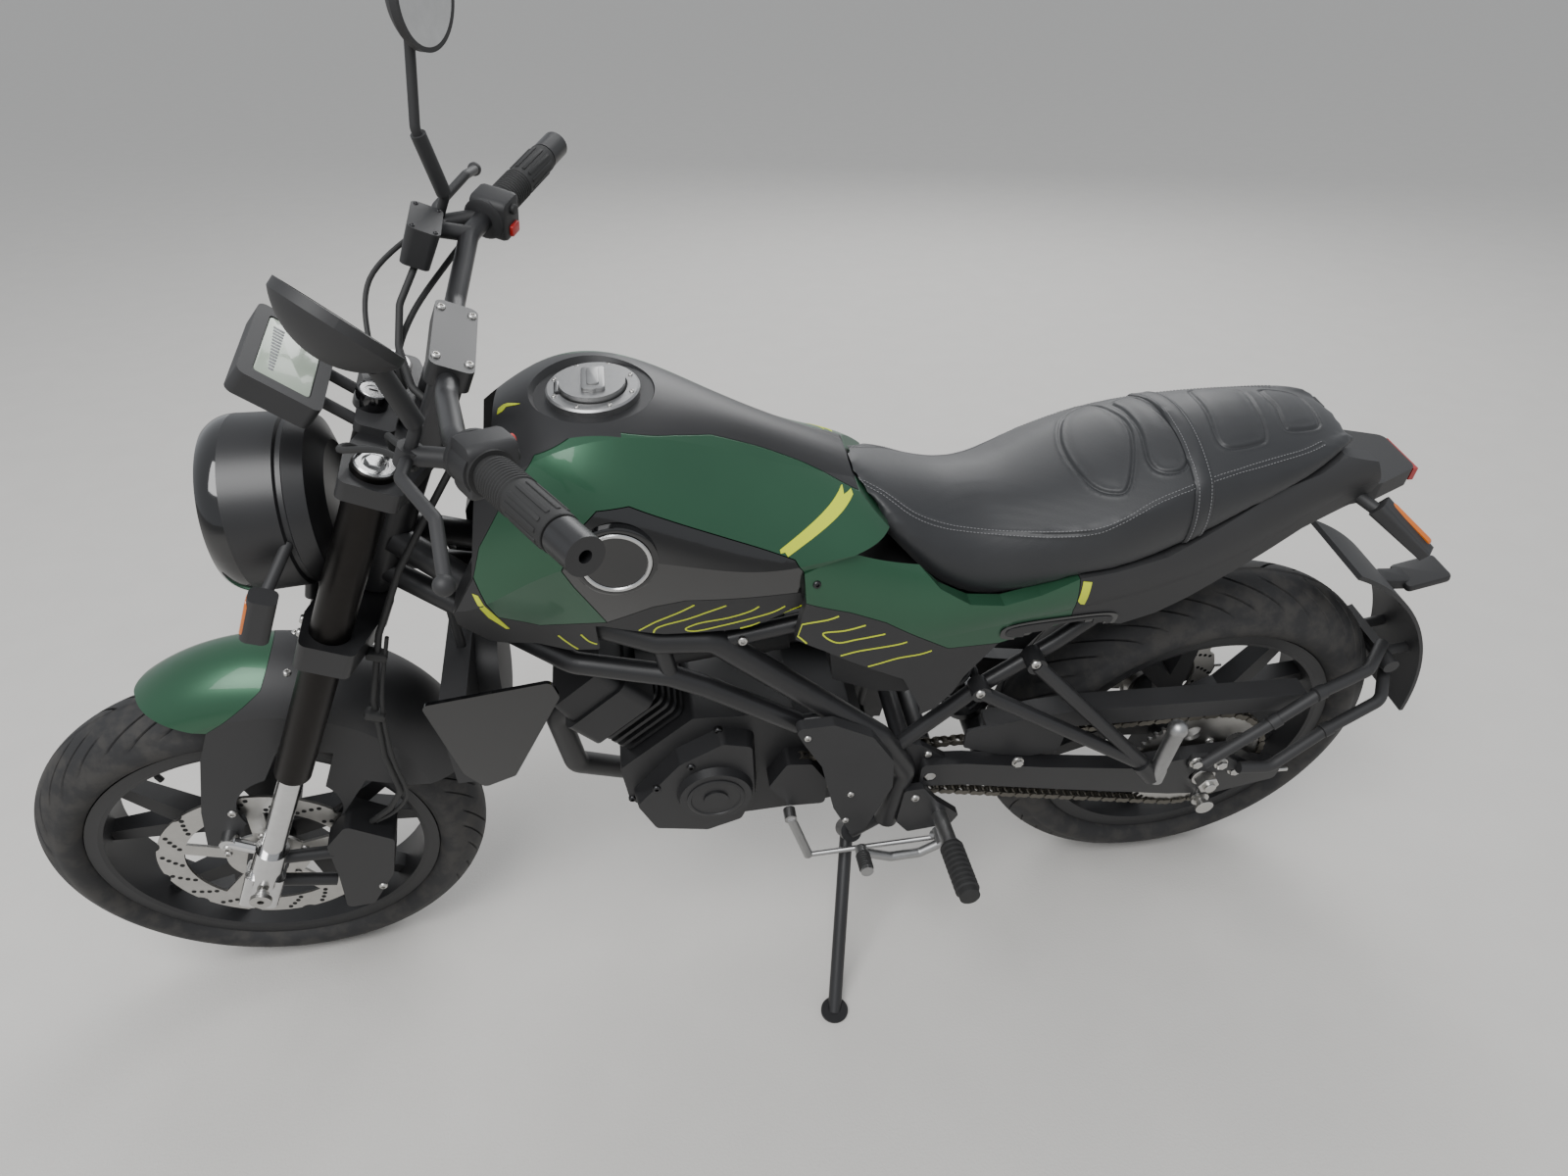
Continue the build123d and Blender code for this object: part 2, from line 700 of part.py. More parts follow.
def belt(front_radius, rear_radius):
    """A filled loop face in the current sketch."""
    points, front_middle, rear_middle = loop_outline(front_radius, rear_radius)
    with BuildLine() as outline:
        Line(points[0][0], points[0][1])
        ThreePointArc(points[0][1], rear_middle, points[1][1])
        Line(points[1][1], points[1][0])
        ThreePointArc(points[1][0], front_middle, points[0][0])
    make_face(outline.edges())


with BuildPart() as chain:
    with BuildSketch(side(chain_line + chain_width / 2)):
        belt(front_pitch_radius + chain_half_height, rear_pitch_radius + chain_half_height)
    extrude(amount=chain_width)
    with BuildSketch(side(chain_line + chain_width / 2)):
        belt(front_pitch_radius - chain_half_height, rear_pitch_radius - chain_half_height)
    extrude(amount=chain_width, mode=Mode.SUBTRACT)
    # The teeth run in a groove, wide enough to turn in
    with BuildSketch(side(chain_line + sprocket_thickness / 2 + 1)):
        with Locations((axle_x, axle_z)):
            Circle(rear_pitch_radius + 4.5)
    extrude(amount=sprocket_thickness + 2, mode=Mode.SUBTRACT)
    add(engine_case.part, mode=Mode.SUBTRACT)
chain.part.label = "chain"
write(chain.part, parked)

with BuildPart() as chain_guard:
    soft_plate([(-300, 452), (-400, 468), (-463, 471), (-815, 450), (-822, 418), (-560, 432),
                (-452, 438), (-446, 386), (-404, 380), (-356, 392), (-300, 418)], 103, 5, 5)
    with BuildSketch(side(99)):
        with BuildLine():
            Polyline((-330, 455), (-400, 466), (-463, 469), (-815, 448), (-815, 440), (-463, 460),
                     (-330, 447), close=True)
        make_face()
    extrude(amount=30)
    add(frame.part, mode=Mode.SUBTRACT)
    add(swingarm.part, mode=Mode.SUBTRACT)
chain_guard.part.label = "chain_guard"
write(chain_guard.part, parked)

# Plate carrier on the swingarm's left end, with its splash guard, bracket and blank plate
with BuildPart() as plate_carrier:
    soft_plate([(-648, 364), (-700, 362), (-745, 322), (-700, 318), (-650, 334)], 127.3, 6, 6)
    tube([(-668, 131, 350), (-762, 121, 420), (-821, 112, 462), (-906, 90, 474), (-960, 40, 470)],
         9, 30)
    tube([(-730, 131, 330), (-783, 131, 322), (-871, 108, 367), (-960, 88, 398), (-990, 40, 410)],
         9, 30)
    rod((-975, -62, 440), (-975, 62, 440), 12)
    plate([(-960, 474), (-1000, 404), (-990, 398), (-950, 468)], 44, 88)
    for left in (-30, 30):
        rod((-975, left, 440), (-1016, left, 446), 8)
plate_carrier.part.label = "plate_carrier"
write(plate_carrier.part, parked)

with BuildPart() as splash_guard:
    with BuildSketch(side(62)):
        with BuildLine():
            ThreePointArc((-842, 640), (-985, 520), (-1044, 330))
            Line((-1044, 330), (-1038, 330))
            ThreePointArc((-1038, 330), (-980, 518), (-838, 634))
            Line((-838, 634), (-842, 640))
        make_face()
    extrude(amount=124)
    add(plate_carrier.part, mode=Mode.SUBTRACT)
splash_guard.part.label = "splash_guard"
write(splash_guard.part, parked)

# Rider footrests on their hangers
with BuildPart() as footrest_hangers:
    for y in (133, -121):
        soft_plate([(-212, 372), (-240, 374), (-262, 340), (-300, 300), (-290, 278), (-225, 272),
                    (-206, 300)], y, 12, 6)
        with BuildSketch(side(y)):
            with Locations((-262, 308)):
                Circle(13)
        extrude(amount=12)
    for x, z in ((-240, 345), (-226, 300)):
        rod((x, 108, z), (x, 122, z), 8)
        rod((x, -122, z), (x, -108, z), 8)
    add(frame.part, mode=Mode.SUBTRACT)
footrest_hangers.part.label = "footrest_hangers"
write(footrest_hangers.part, parked)

with BuildPart() as rider_footrests:
    for reach in (1, -1):
        rod((-270, reach * 133.2, 306), (-270, reach * 200, 316), 11)
        rod((-270, reach * 190, 314), (-270, reach * 282, 328), 14)
    add(footrest_hangers.part, mode=Mode.SUBTRACT)
rider_footrests.part.label = "rider_footrests"
write(rider_footrests.part, parked)

with BuildPart() as foot_levers:
    # Gear lever on the left, with its link to the gearbox shaft
    rod((-52, 104.2, 321), (-52, 122, 321), 9)
    rod((-52, 118, 321), (-80, 122, 226), 7)
    rod((-80, 122, 226), (-262, 142, 262), 4)
    rod((-272, 133.3, 268), (-272, 160, 268), 9)
    rod((-262, 138, 262), (-272, 144, 268), 7)
    tube([(-272, 156, 268), (-240, 157, 250), (-195, 159, 252), (-152, 161, 276)], 7, 12)
    rod((-150, 155, 278), (-150, 200, 286), 9)
    # Brake pedal on the right
    tube([(-262, -142, 285), (-230, -146, 278), (-190, -150, 272), (-150, -154, 268)], 7, 12)
    rod((-262, -133.3, 285), (-262, -150, 285), 9)
    rod((-150, -150, 268), (-150, -196, 276), 9)
foot_levers.part.label = "foot_levers"
write(foot_levers.part, parked)

with BuildPart() as passenger_footrests:
    for reach in (1, -1):
        for x, z, bolt_y in ((-301, 552, 99), (-369, 595, 95)):
            rod((x, reach * bolt_y, z), (x, reach * 124, z), 13)
            rod((x, reach * 118, z), (-561, reach * 146, 386), 10)
        rod((-552, reach * 145, 392), (-576, reach * 149, 362), 14)
        rod((-580, reach * 150, 356), (-584, reach * 152, 462), 11)
        with Locations((-585, reach * 152, 468)):
            Sphere(13)
    add(frame.part, mode=Mode.SUBTRACT)
passenger_footrests.part.label = "passenger_footrests"
write(passenger_footrests.part, parked)

# Rear brake caliper hung on the right arm
rear_disc_y = -78
with BuildPart() as rear_caliper:
    soft_plate([(-676, 376), (-604, 362), (-588, 398), (-618, 436), (-676, 442)], -62, 30, 6)
    with BuildSketch(side(rear_disc_y + 7)):
        with Locations((axle_x, axle_z)):
            Circle(117)
    extrude(amount=14, mode=Mode.SUBTRACT)
    rod((-606, -93, 380), (-606, -93, 330), 7)
    add(swingarm.part, mode=Mode.SUBTRACT)
rear_caliper.part.label = "rear_caliper"
write(rear_caliper.part, parked)

# Side stand: a leg from its pivot under the frame to the foot pad on the floor
stand_pivot = Vector(-147.5, 92, 232.5)
stand_foot = Vector(-97, 285, 52)
stand_hinge = Vector(-0.0826, 0.692, 0.717)
stand_hub_length = 24
with BuildPart() as stand_bracket:
    rod((-196, 104, 282), stand_pivot + stand_hinge * 15, 10)
    rod(stand_pivot + stand_hinge * 16, stand_pivot + stand_hinge * fit, 16)
    add(frame.part, mode=Mode.SUBTRACT)
    add(pivot_covers.part, mode=Mode.SUBTRACT)
stand_bracket.part.label = "stand_bracket"
write(stand_bracket.part, parked)

with BuildPart() as side_stand:
    rod(stand_pivot - stand_hinge * stand_hub_length, stand_pivot, 15)
    rod(stand_pivot - stand_hinge * stand_hub_length / 2, stand_foot, 10)
    rod(stand_foot + Vector(0, 0, -8), stand_foot + Vector(0, 0, 6), 20)
    with BuildSketch(floor):
        with Locations((0, 0)):
            Rectangle(3000, 3000)
    extrude(amount=-200, mode=Mode.SUBTRACT)
side_stand.part.label = "side_stand"
write(side_stand.part, parked)

# Steering: clamps on one stem
leg_half = fork_leg_spacing / 2
with BuildPart() as fork_clamps:
    for bottom, height in ((lower_clamp_height - 19, 38), (fork_top - 22, 22)):
        with BuildSketch(Plane.XY.offset(bottom)):
            with BuildLine():
                FilletPolyline((-26, 34), (-26, -34), (8, -leg_half - 34), (66, -leg_half - 30),
                               (66, -leg_half + 22), (44, 0), (66, leg_half - 22),
                               (66, leg_half + 30), (8, leg_half + 34), radius=9, close=True)
            make_face()
            with Locations((fork_leg_ahead, leg_half), (fork_leg_ahead, -leg_half)):
                Circle(fork_tube_radius, mode=Mode.SUBTRACT)
        extrude(amount=height)
    with BuildSketch(Plane.XY.offset(lower_clamp_height)):
        Circle(stem_radius)
    extrude(amount=fork_top - lower_clamp_height)
    with BuildSketch(Plane.XY.offset(fork_top)):
        Circle(20)
    extrude(amount=8)
fork_clamps.part.label = "fork_clamps"
write(fork_clamps.part, steering_place)

leg_places = [(fork_leg_ahead, leg_half), (fork_leg_ahead, -leg_half)]
with BuildPart() as fork_outer_tubes:
    with BuildSketch(Plane.XY.offset(fork_tube_end)):
        with Locations(*leg_places):
            Circle(fork_tube_radius - fit)
    extrude(amount=fork_top + 6 - fork_tube_end)
    with BuildSketch(Plane.XY.offset(fork_tube_end - 40)):
        with Locations(*leg_places):
            Circle(fork_slider_radius + fit)
    extrude(amount=60, mode=Mode.SUBTRACT)
fork_outer_tubes.part.label = "fork_outer_tubes"
write(fork_outer_tubes.part, steering_place)

with BuildPart() as fork_inner_tubes:
    with BuildSketch(Plane.XY.offset(fork_foot_top)):
        with Locations(*leg_places):
            Circle(fork_slider_radius)
    extrude(amount=fork_tube_end + 20 - fork_foot_top)
    with BuildSketch(Plane.XY.offset(-24)):
        with Locations(*leg_places):
            Circle(21)
    extrude(amount=fork_foot_top + 24)
    with BuildSketch(Plane.XY.offset(-40)):
        with Locations(*leg_places):
            RectangleRounded(50, 34, 8)
    extrude(amount=66)
    # Lugs ahead of the feet carry the fender
    for left in (-1, 1):
        rod((40, left * 90, 64), (88, left * 82, 64), 8)
        rod((90, left * fender_half, 64), (90, left * (fender_half + 18), 64), 10.5)
    with BuildSketch(Plane.XZ.offset(-200)):
        with Locations((fork_offset, 0)):
            Circle(axle_radius + fit)
    extrude(amount=400, mode=Mode.SUBTRACT)
fork_inner_tubes.part.label = "fork_inner_tubes"
write(fork_inner_tubes.part, steering_place)

with BuildPart() as front_axle:
    with BuildSketch(Plane.XZ.offset(-124)):
        with Locations((fork_offset, 0)):
            Circle(axle_radius)
    extrude(amount=248)
    with BuildSketch(Plane.XZ.offset(-130)):
        with Locations((fork_offset, 0)):
            Circle(14)
    extrude(amount=6)
    with BuildSketch(Plane.XZ.offset(124)):
        with Locations((fork_offset, 0)):
            Circle(14)
    extrude(amount=6)
    with BuildSketch(Plane.XZ.offset(-131)):
        with Locations((fork_offset, 0)):
            Circle(4.5)
    extrude(amount=262, mode=Mode.SUBTRACT)
front_axle.part.label = "front_axle"
write(front_axle.part, steering_place)

# Handlebar with its risers and one clamp bridge
bar_radius = 11
bar_end = Vector(-99, 398, 935)
bar_knee = Vector(-14, 202, 870)
bar_foot = Vector(-10, 92, 838)
bar_out = (bar_end - bar_knee).normalized()
weight_length = 34
grip_length = 118
switch_length = 30
bar_tip = bar_end - bar_out * (weight_length + fit)
grip_start = bar_tip - bar_out * 2
switch_start = grip_start - bar_out * (grip_length + fit)
with BuildPart() as handlebar:
    tube([bar_tip, bar_knee, bar_foot, across(bar_foot), across(bar_knee), across(bar_tip)],
         bar_radius, 45)
    for left in (-1, 1):
        with BuildSketch(Plane.XY.offset(fork_top)):
            with Locations((bar_foot.X, left * 50)):
                RectangleRounded(32, 30, 8)
        extrude(amount=bar_foot.Z - fork_top)
    with BuildSketch(Plane.XY.offset(bar_foot.Z - 8)):
        with Locations((bar_foot.X, 0)):
            RectangleRounded(44, 128, 9)
    extrude(amount=24)
    add(fork_clamps.part, mode=Mode.SUBTRACT)
handlebar.part.label = "handlebar"
write(handlebar.part, steering_place)


def bar_sleeve(start, length, radius, bore):
    """A sleeve round both ends of the handlebar, from start inwards along its straight run."""
    for turn_over in (False, True):
        first = across(start) if turn_over else start
        last = start - bar_out * length
        last = across(last) if turn_over else last
        rod(first, last, radius)
        rod(first, last, bore, mode=Mode.SUBTRACT)


with BuildPart() as grips:
    bar_sleeve(grip_start, grip_length, 17, bar_radius + fit)
    bar_sleeve(grip_start - bar_out * (grip_length - 5), 5, 21, bar_radius + fit)
grips.part.label = "grips"
write(grips.part, steering_place)

with BuildPart() as bar_weights:
    for end, inner in ((bar_end, bar_end - bar_out * weight_length),
                       (across(bar_end), across(bar_end - bar_out * weight_length))):
        rod(end, inner, 16.5)
        rod(end, end + (inner - end) * 0.7, 5.5, mode=Mode.SUBTRACT)
bar_weights.part.label = "bar_weights"
write(bar_weights.part, steering_place)

lever_pivot = Vector(20, 226, 860)
with BuildPart() as hand_controls:
    bar_sleeve(switch_start, switch_length, 23, bar_radius + fit)
    clamp_at = switch_start - bar_out * (switch_length - 6)
    for left in (True, False):
        place = Vector if left else across
        rod(place(clamp_at), place(lever_pivot), 9)
        rod(place(lever_pivot - Vector(0, 0, 9)), place(lever_pivot + Vector(0, 0, 9)), 11)
        tube([place(lever_pivot), place(Vector(24, 262, 862)), place(Vector(-2, 330, 884)),
              place(Vector(-14, 384, 873))], 5.5, 12)
        with Locations(place(Vector(-14, 388, 872))):
            Sphere(8.5)
    # Brake fluid reservoir on the right
    with BuildSketch(Plane.XY.offset(844)):
        with Locations((36, -166)):
            RectangleRounded(32, 66, 7)
    extrude(amount=44, taper=-2)
    rod((34, -190, 866), (-14, -200, 872), 9)
    rod(bar_tip, switch_start - bar_out * 40, bar_radius + fit, mode=Mode.SUBTRACT)
    rod(across(bar_tip), across(switch_start - bar_out * 40), bar_radius + fit, mode=Mode.SUBTRACT)
    add(handlebar.part, mode=Mode.SUBTRACT)
    add(grips.part, mode=Mode.SUBTRACT)
hand_controls.part.label = "hand_controls"
write(hand_controls.part, steering_place)

# Round mirrors on long stems
mirror_radius = 51
glass_radius = 46
glass_depth = 2.5
left_mirror = (Vector(91, 246, 979), Vector(-0.308, -0.472, 0.826))
right_mirror = (Vector(84, -216, 1088), Vector(-0.80, 0.46, 0.38))


def mirror_section(centre, facing):
    """A plane through a mirror's middle, with local y along the way that its glass faces."""
    face = Plane(origin=centre, z_dir=facing)
    return Plane(origin=centre, x_dir=face.x_dir, z_dir=-face.y_dir)


with BuildPart() as mirrors:
    for centre, facing in (left_mirror, right_mirror):
        with BuildSketch(mirror_section(centre, facing)):
            with BuildLine():
                Polyline((0, -glass_depth), (glass_radius + fit, -glass_depth),
                         (glass_radius + fit, 0), (mirror_radius, 0), (mirror_radius, -8))
                dome(mirror_radius, -8, -34)
                Line((0, -34), (0, -glass_depth))
            make_face()
        revolve(axis=Axis(centre, facing))
    tube([(20, 226, 864), (20, 224, 890), (66, 236, 948), left_mirror[0] - left_mirror[1] * 22],
         5.5, 14)
    rod((22, 225, 893), (60, 235, 941), 8.5)
    tube([(20, -226, 864), (20, -220, 896), (66, -206, 962), right_mirror[0] - right_mirror[1] * 22],
         5.5, 14)
    rod((22, -220, 899), (62, -207, 957), 8.5)
    add(hand_controls.part, mode=Mode.SUBTRACT)
    add(handlebar.part, mode=Mode.SUBTRACT)
mirrors.part.label = "mirrors"
write(mirrors.part, steering_place)

with BuildPart() as mirror_glasses:
    for centre, facing in (left_mirror, right_mirror):
        with BuildSketch(Plane(origin=centre - facing * (glass_depth - fit), z_dir=facing)):
            Circle(glass_radius)
        extrude(amount=glass_depth - fit - 0.4)
mirror_glasses.part.label = "mirror_glasses"
write(mirror_glasses.part, steering_place)

# Headlight: a round bucket that looks straight ahead, its rim and its domed lens
lamp_middle = Vector(140, 0, 584)
lamp_ahead = Vector(cos(radians(rake)), 0, -sin(radians(rake)))
lamp_radius = 97
lamp_section = Plane(origin=lamp_middle, x_dir=(0, 1, 0), z_dir=Vector(0, 1, 0).cross(lamp_ahead))
lamp_axis = Axis(lamp_middle, lamp_ahead)
lens_radius = 86
with BuildPart() as headlight_shell:
    with BuildSketch(lamp_section):
        with BuildLine():
            Polyline((0, 0), (lamp_radius, 0), (lamp_radius - 2, -52), (lamp_radius - 6, -54),
                     (lamp_radius - 6, -59), (lamp_radius - 3, -61), (lamp_radius - 9, -80),
                     (60, -92), (0, -94), close=True)
        make_face()
    revolve(axis=lamp_axis)
    for left in (-1, 1):
        rod((62, left * 44, 505), (72, left * 40, 575), 7)
    add(fork_clamps.part, mode=Mode.SUBTRACT)
headlight_shell.part.label = "headlight_shell"
write(headlight_shell.part, steering_place)

with BuildPart() as headlight_rim:
    with BuildSketch(lamp_section):
        with BuildLine():
            Line((lens_radius, 0), (lamp_radius, 0))
            ThreePointArc((lamp_radius, 0), (lamp_radius - 2, 14), (lens_radius + 3, 24))
            Polyline((lens_radius + 3, 24), (lens_radius, 24), (lens_radius, 0))
        make_face()
    revolve(axis=lamp_axis)
headlight_rim.part.label = "headlight_rim"
write(headlight_rim.part, steering_place)

with BuildPart() as headlight_lens:
    with BuildSketch(lamp_section):
        with BuildLine():
            Polyline((0, fit), (lens_radius - fit, fit), (lens_radius - fit, 18))
            dome(lens_radius - fit, 18, 36)
            Line((0, 36), (0, fit))
        make_face()
    revolve(axis=lamp_axis)
headlight_lens.part.label = "headlight_lens"
write(headlight_lens.part, steering_place)

# Instrument above the lamp, and the cover plate with the ignition lock
dash_face = Plane(origin=(131, 0, 779), x_dir=(0, 1, 0), z_dir=(-0.30, 0, 0.954))
with BuildPart() as instrument:
    with BuildSketch(dash_face.offset(-26)):
        RectangleRounded(130, 82, 9)
    extrude(amount=26)
    with BuildSketch(dash_face.offset(-2)):
        RectangleRounded(102, 56, 4)
    extrude(amount=2, mode=Mode.SUBTRACT)
    for left in (-1, 1):
        rod((56, left * 26, fork_top + 2), (104, left * 26, 757), 6)
    with BuildSketch(Plane.XY.offset(fork_top)):
        with Locations((42, 0)):
            RectangleRounded(40, 84, 8)
        Circle(21, mode=Mode.SUBTRACT)
    extrude(amount=10)
    with BuildSketch(Plane.XY.offset(fork_top + 8)):
        with Locations((50, 0)):
            Circle(16)
    extrude(amount=18)
    add(fork_clamps.part, mode=Mode.SUBTRACT)
instrument.part.label = "instrument"
write(instrument.part, steering_place)

with BuildPart() as front_indicators:
    for left in (-1, 1):
        rod((96, left * 88, 614), (106, left * 140, 584), 6)
        with BuildSketch(Plane.XY.offset(536)):
            with Locations((107, left * 150)):
                RectangleRounded(28, 24, 8)
        extrude(amount=58)
    add(headlight_shell.part, mode=Mode.SUBTRACT)
    add(headlight_rim.part, mode=Mode.SUBTRACT)
front_indicators.part.label = "front_indicators"
write(front_indicators.part, steering_place)

# Front fender: an arched shell over the tyre with legs down to the fork feet
fender_middle = (26, 137)
fender_crown = 235
fender_wall = 4
fender_fall = 52
fender_leg = 170
fender_axis = Axis((fender_middle[0], 0, fender_middle[1]), (0, 1, 0))


def arch(half, crown, fall, leg):
    """An arched cross section of the fender, above its middle, in the plane across the steering."""
    with BuildLine() as outline:
        Line((-half, crown - leg), (-half, crown - fall))
        ThreePointArc((-half, crown - fall), (0, crown), (half, crown - fall))
        Polyline((half, crown - fall), (half, crown - leg), (-half, crown - leg))
    make_face(outline.edges())


fender_plane = Plane(origin=(fender_middle[0], 0, fender_middle[1]), x_dir=(0, 1, 0),
                     z_dir=(1, 0, 0))
skirt_outline = [(252, 236), (226, 256), (140, 268), (141, 215), (129, 106), (114, 34), (80, 34),
                 (68, 150), (58, 262), (-6, 262), (-10, 150), (-40, 132), (-54, 214), (-108, 215),
                 (-168, 234), (-186, 244), (-240, 262), (-240, 420), (252, 420)]
green_fender_outline = [(252, 236), (226, 256), (140, 268), (92, 340), (86, 420), (252, 420)]
with BuildPart() as fender_form:
    with BuildSketch(fender_plane):
        arch(fender_half, fender_crown, fender_fall, fender_leg)
    revolve(axis=fender_axis, revolution_arc=360)
    with BuildSketch(fender_plane):
        arch(fender_half - fender_wall, fender_crown - fender_wall, fender_fall - 2, fender_leg + 30)
    revolve(axis=fender_axis, revolution_arc=360, mode=Mode.SUBTRACT)

with BuildPart() as front_fender_cover:
    with BuildSketch(Plane.XZ.offset(-120)):
        with BuildLine():
            Polyline(*green_fender_outline, close=True)
        make_face()
        offset(amount=-panel_gap / 2)
    extrude(amount=240)
    add(fender_form.part, mode=Mode.INTERSECT)
front_fender_cover.part.label = "front_fender_cover"
write(front_fender_cover.part, steering_place)

with BuildPart() as front_fender:
    with BuildSketch(Plane.XZ.offset(-120)):
        with BuildLine():
            Polyline(*skirt_outline, close=True)
        make_face()
    extrude(amount=240)
    add(fender_form.part, mode=Mode.INTERSECT)
    with BuildSketch(Plane.XZ.offset(-120)):
        with BuildLine():
            Polyline(*green_fender_outline, close=True)
        make_face()
    extrude(amount=240, mode=Mode.SUBTRACT)
front_fender.part.label = "front_fender"
write(front_fender.part, steering_place)

# Front brake caliper over the disc, on the left leg
front_disc_y = 56
disc_thickness = 4
caliper_slot = disc_thickness + 2 * running_gap
with BuildPart() as front_caliper:
    with BuildSketch(Plane.XZ.offset(-94)):
        with BuildLine():
            FilletPolyline((-44, 140), (-112, 122), (-128, 40), (-118, -40), (-84, -58), (-58, 20),
                           (-30, 90), radius=8, close=True)
        make_face()
    extrude(amount=52)
    with BuildSketch(Plane.XZ.offset(-front_disc_y - caliper_slot / 2)):
        with Locations((fork_offset, 0)):
            Circle(152)
    extrude(amount=caliper_slot, mode=Mode.SUBTRACT)
    rod((-50, 84, 70), (28, 96, 58), 9)
    rod((-58, 84, 0), (18, 92, 0), 9)
    add(fork_inner_tubes.part, mode=Mode.SUBTRACT)
front_caliper.part.label = "front_caliper"
write(front_caliper.part, steering_place)

# Brake hose from the reservoir down the left leg to the caliper
with BuildPart() as brake_hoses:
    tube([(34, -150, 848), (42, -112, 808), (34, -72, 780), (14, -20, 768), (-22, 14, 766),
          (-42, 44, 742), (-28, 70, 684), (-16, 78, 600), (-15, 82, 500), (-30, 92, 400), (-62, 100, 308),
          (-96, 96, 236), (-94, 82, 176), (-78, 76, 134)], 4, 22)
    add(hand_controls.part, mode=Mode.SUBTRACT)
    add(front_caliper.part, mode=Mode.SUBTRACT)
brake_hoses.part.label = "brake_hoses"
write(brake_hoses.part, steering_place)

# Rear indicators on stems from the tail
with BuildPart() as rear_indicators:
    for left in (-1, 1):
        rod((-762, left * 36, 788), (-794, left * 92, 776), 8)
        with BuildSketch(Plane(origin=(-787, left * 86, 786), z_dir=(-53, left * 56, -43))):
            RectangleRounded(30, 24, 7)
        extrude(amount=82, taper=3)
    add(tail_cover.part, mode=Mode.SUBTRACT)
    add(frame.part, mode=Mode.SUBTRACT)
rear_indicators.part.label = "rear_indicators"
write(rear_indicators.part, parked)


def tyre_section(radius, bead_half, half, crown_half, crown_drop):
    """Half outlines of a tyre: beads in the rim, side walls bulging past it, and the crown."""
    seat_radius = bead_radius + fit
    flange_top = bead_radius + flange_height + fit
    with BuildLine() as outline:
        Polyline((seat_radius, bead_half), (flange_top, bead_half))
        ThreePointArc((flange_top, bead_half), (flange_top + 18, half),
                      (radius - crown_drop, crown_half))
        ThreePointArc((radius - crown_drop, crown_half), (radius, 0),
                      (radius - crown_drop, -crown_half))
        ThreePointArc((radius - crown_drop, -crown_half), (flange_top + 18, -half),
                      (flange_top, -bead_half))
        Polyline((flange_top, -bead_half), (seat_radius, -bead_half), (seat_radius, bead_half))
    make_face(outline.edges())


with BuildPart() as front_tyre:
    with BuildSketch(Plane.XY):
        tyre_section(front_tyre_radius, front_bead_half, front_tyre_half, front_crown_half,
                     front_crown_drop)
    revolve(axis=Axis.Y)
front_tyre.part.label = "front_tyre"
write(front_tyre.part, front_wheel_place)

with BuildPart() as rear_tyre:
    with BuildSketch(Plane.XY):
        tyre_section(rear_tyre_radius, rear_bead_half, rear_tyre_half, rear_crown_half,
                     rear_crown_drop)
    revolve(axis=Axis.Y)
rear_tyre.part.label = "rear_tyre"
write(rear_tyre.part, rear_wheel_place)

# Rims: five spokes that fork towards the barrel
spoke_count = 5
barrel_inner = 206
fork_radius = 118
branch_spread = 15


def wheel_rim(bead_half, hub_half, hub_radius, spoke_half, bore):
    """Spokes, hub and barrel of one cast wheel about Y."""
    tip = barrel_inner + 4
    tip_x = tip * cos(radians(branch_spread))
    tip_y = tip * sin(radians(branch_spread))
    with BuildSketch(Plane.XZ) as spokes:
        with PolarLocations(0, spoke_count):
            Polygon((0, 19), (fork_radius - 30, 15), (tip_x - 3, tip_y + 9), (tip_x + 3, tip_y - 9),
                    (fork_radius + 6, 0), (tip_x + 3, 9 - tip_y), (tip_x - 3, -tip_y - 9),
                    (fork_radius - 30, -15), (0, -19), align=None)
    extrude(spokes.sketch, amount=2 * spoke_half, both=True)
    with BuildSketch(Plane.XY) as taper:
        Polygon((0, spoke_half + 6), (tip, spoke_half - 4), (tip, 4 - spoke_half),
                (0, -spoke_half - 6), align=None)
    revolve(taper.sketch, axis=Axis.Y, mode=Mode.INTERSECT)
    flange = bead_half + fit
    flange_top = bead_radius + flange_height
    with BuildSketch(Plane.XY) as turned_parts:
        Polygon((0, hub_half), (hub_radius, hub_half), (hub_radius + 4, 0), (hub_radius, -hub_half),
                (0, -hub_half), align=None)
        Polygon((barrel_inner, flange + 3), (barrel_inner + 6, flange + 5),
                (flange_top, flange + 5), (flange_top, flange), (bead_radius, flange),
                (bead_radius, -flange), (flange_top, -flange), (flange_top, -flange - 5),
                (barrel_inner + 6, -flange - 5), (barrel_inner, -flange - 3), align=None)
    revolve(turned_parts.sketch, axis=Axis.Y)
    with BuildSketch(Plane.XZ.offset(-200)) as axle_hole:
        Circle(bore)
    extrude(axle_hole.sketch, amount=400, mode=Mode.SUBTRACT)


hub_half_front = 70
hub_half_rear = 58
with BuildPart() as front_rim:
    wheel_rim(front_bead_half, hub_half_front, 27, 15, axle_radius + fit)
front_rim.part.label = "front_rim"
write(front_rim.part, front_wheel_place)

with BuildPart() as rear_rim:
    wheel_rim(rear_bead_half, hub_half_rear, 40, 17, axle_radius + fit)
rear_rim.part.label = "rear_rim"
write(rear_rim.part, rear_wheel_place)


def brake_disc(y, radius, hub_radius, seat_radius):
    """A drilled, waved disc on its five-armed carrier."""
    with BuildSketch(side(y + disc_thickness / 2)) as disc:
        Circle(radius)
        Circle(radius - 34, mode=Mode.SUBTRACT)
        with PolarLocations(radius + 9, 12):
            Circle(13, mode=Mode.SUBTRACT)
        with PolarLocations(0, 5):
            with Locations(((radius + seat_radius) / 2 - 8, 0)):
                Rectangle(radius - seat_radius - 16, 22)
        Circle(seat_radius + 10)
        Circle(hub_radius, mode=Mode.SUBTRACT)
    extrude(disc.sketch, amount=disc_thickness)


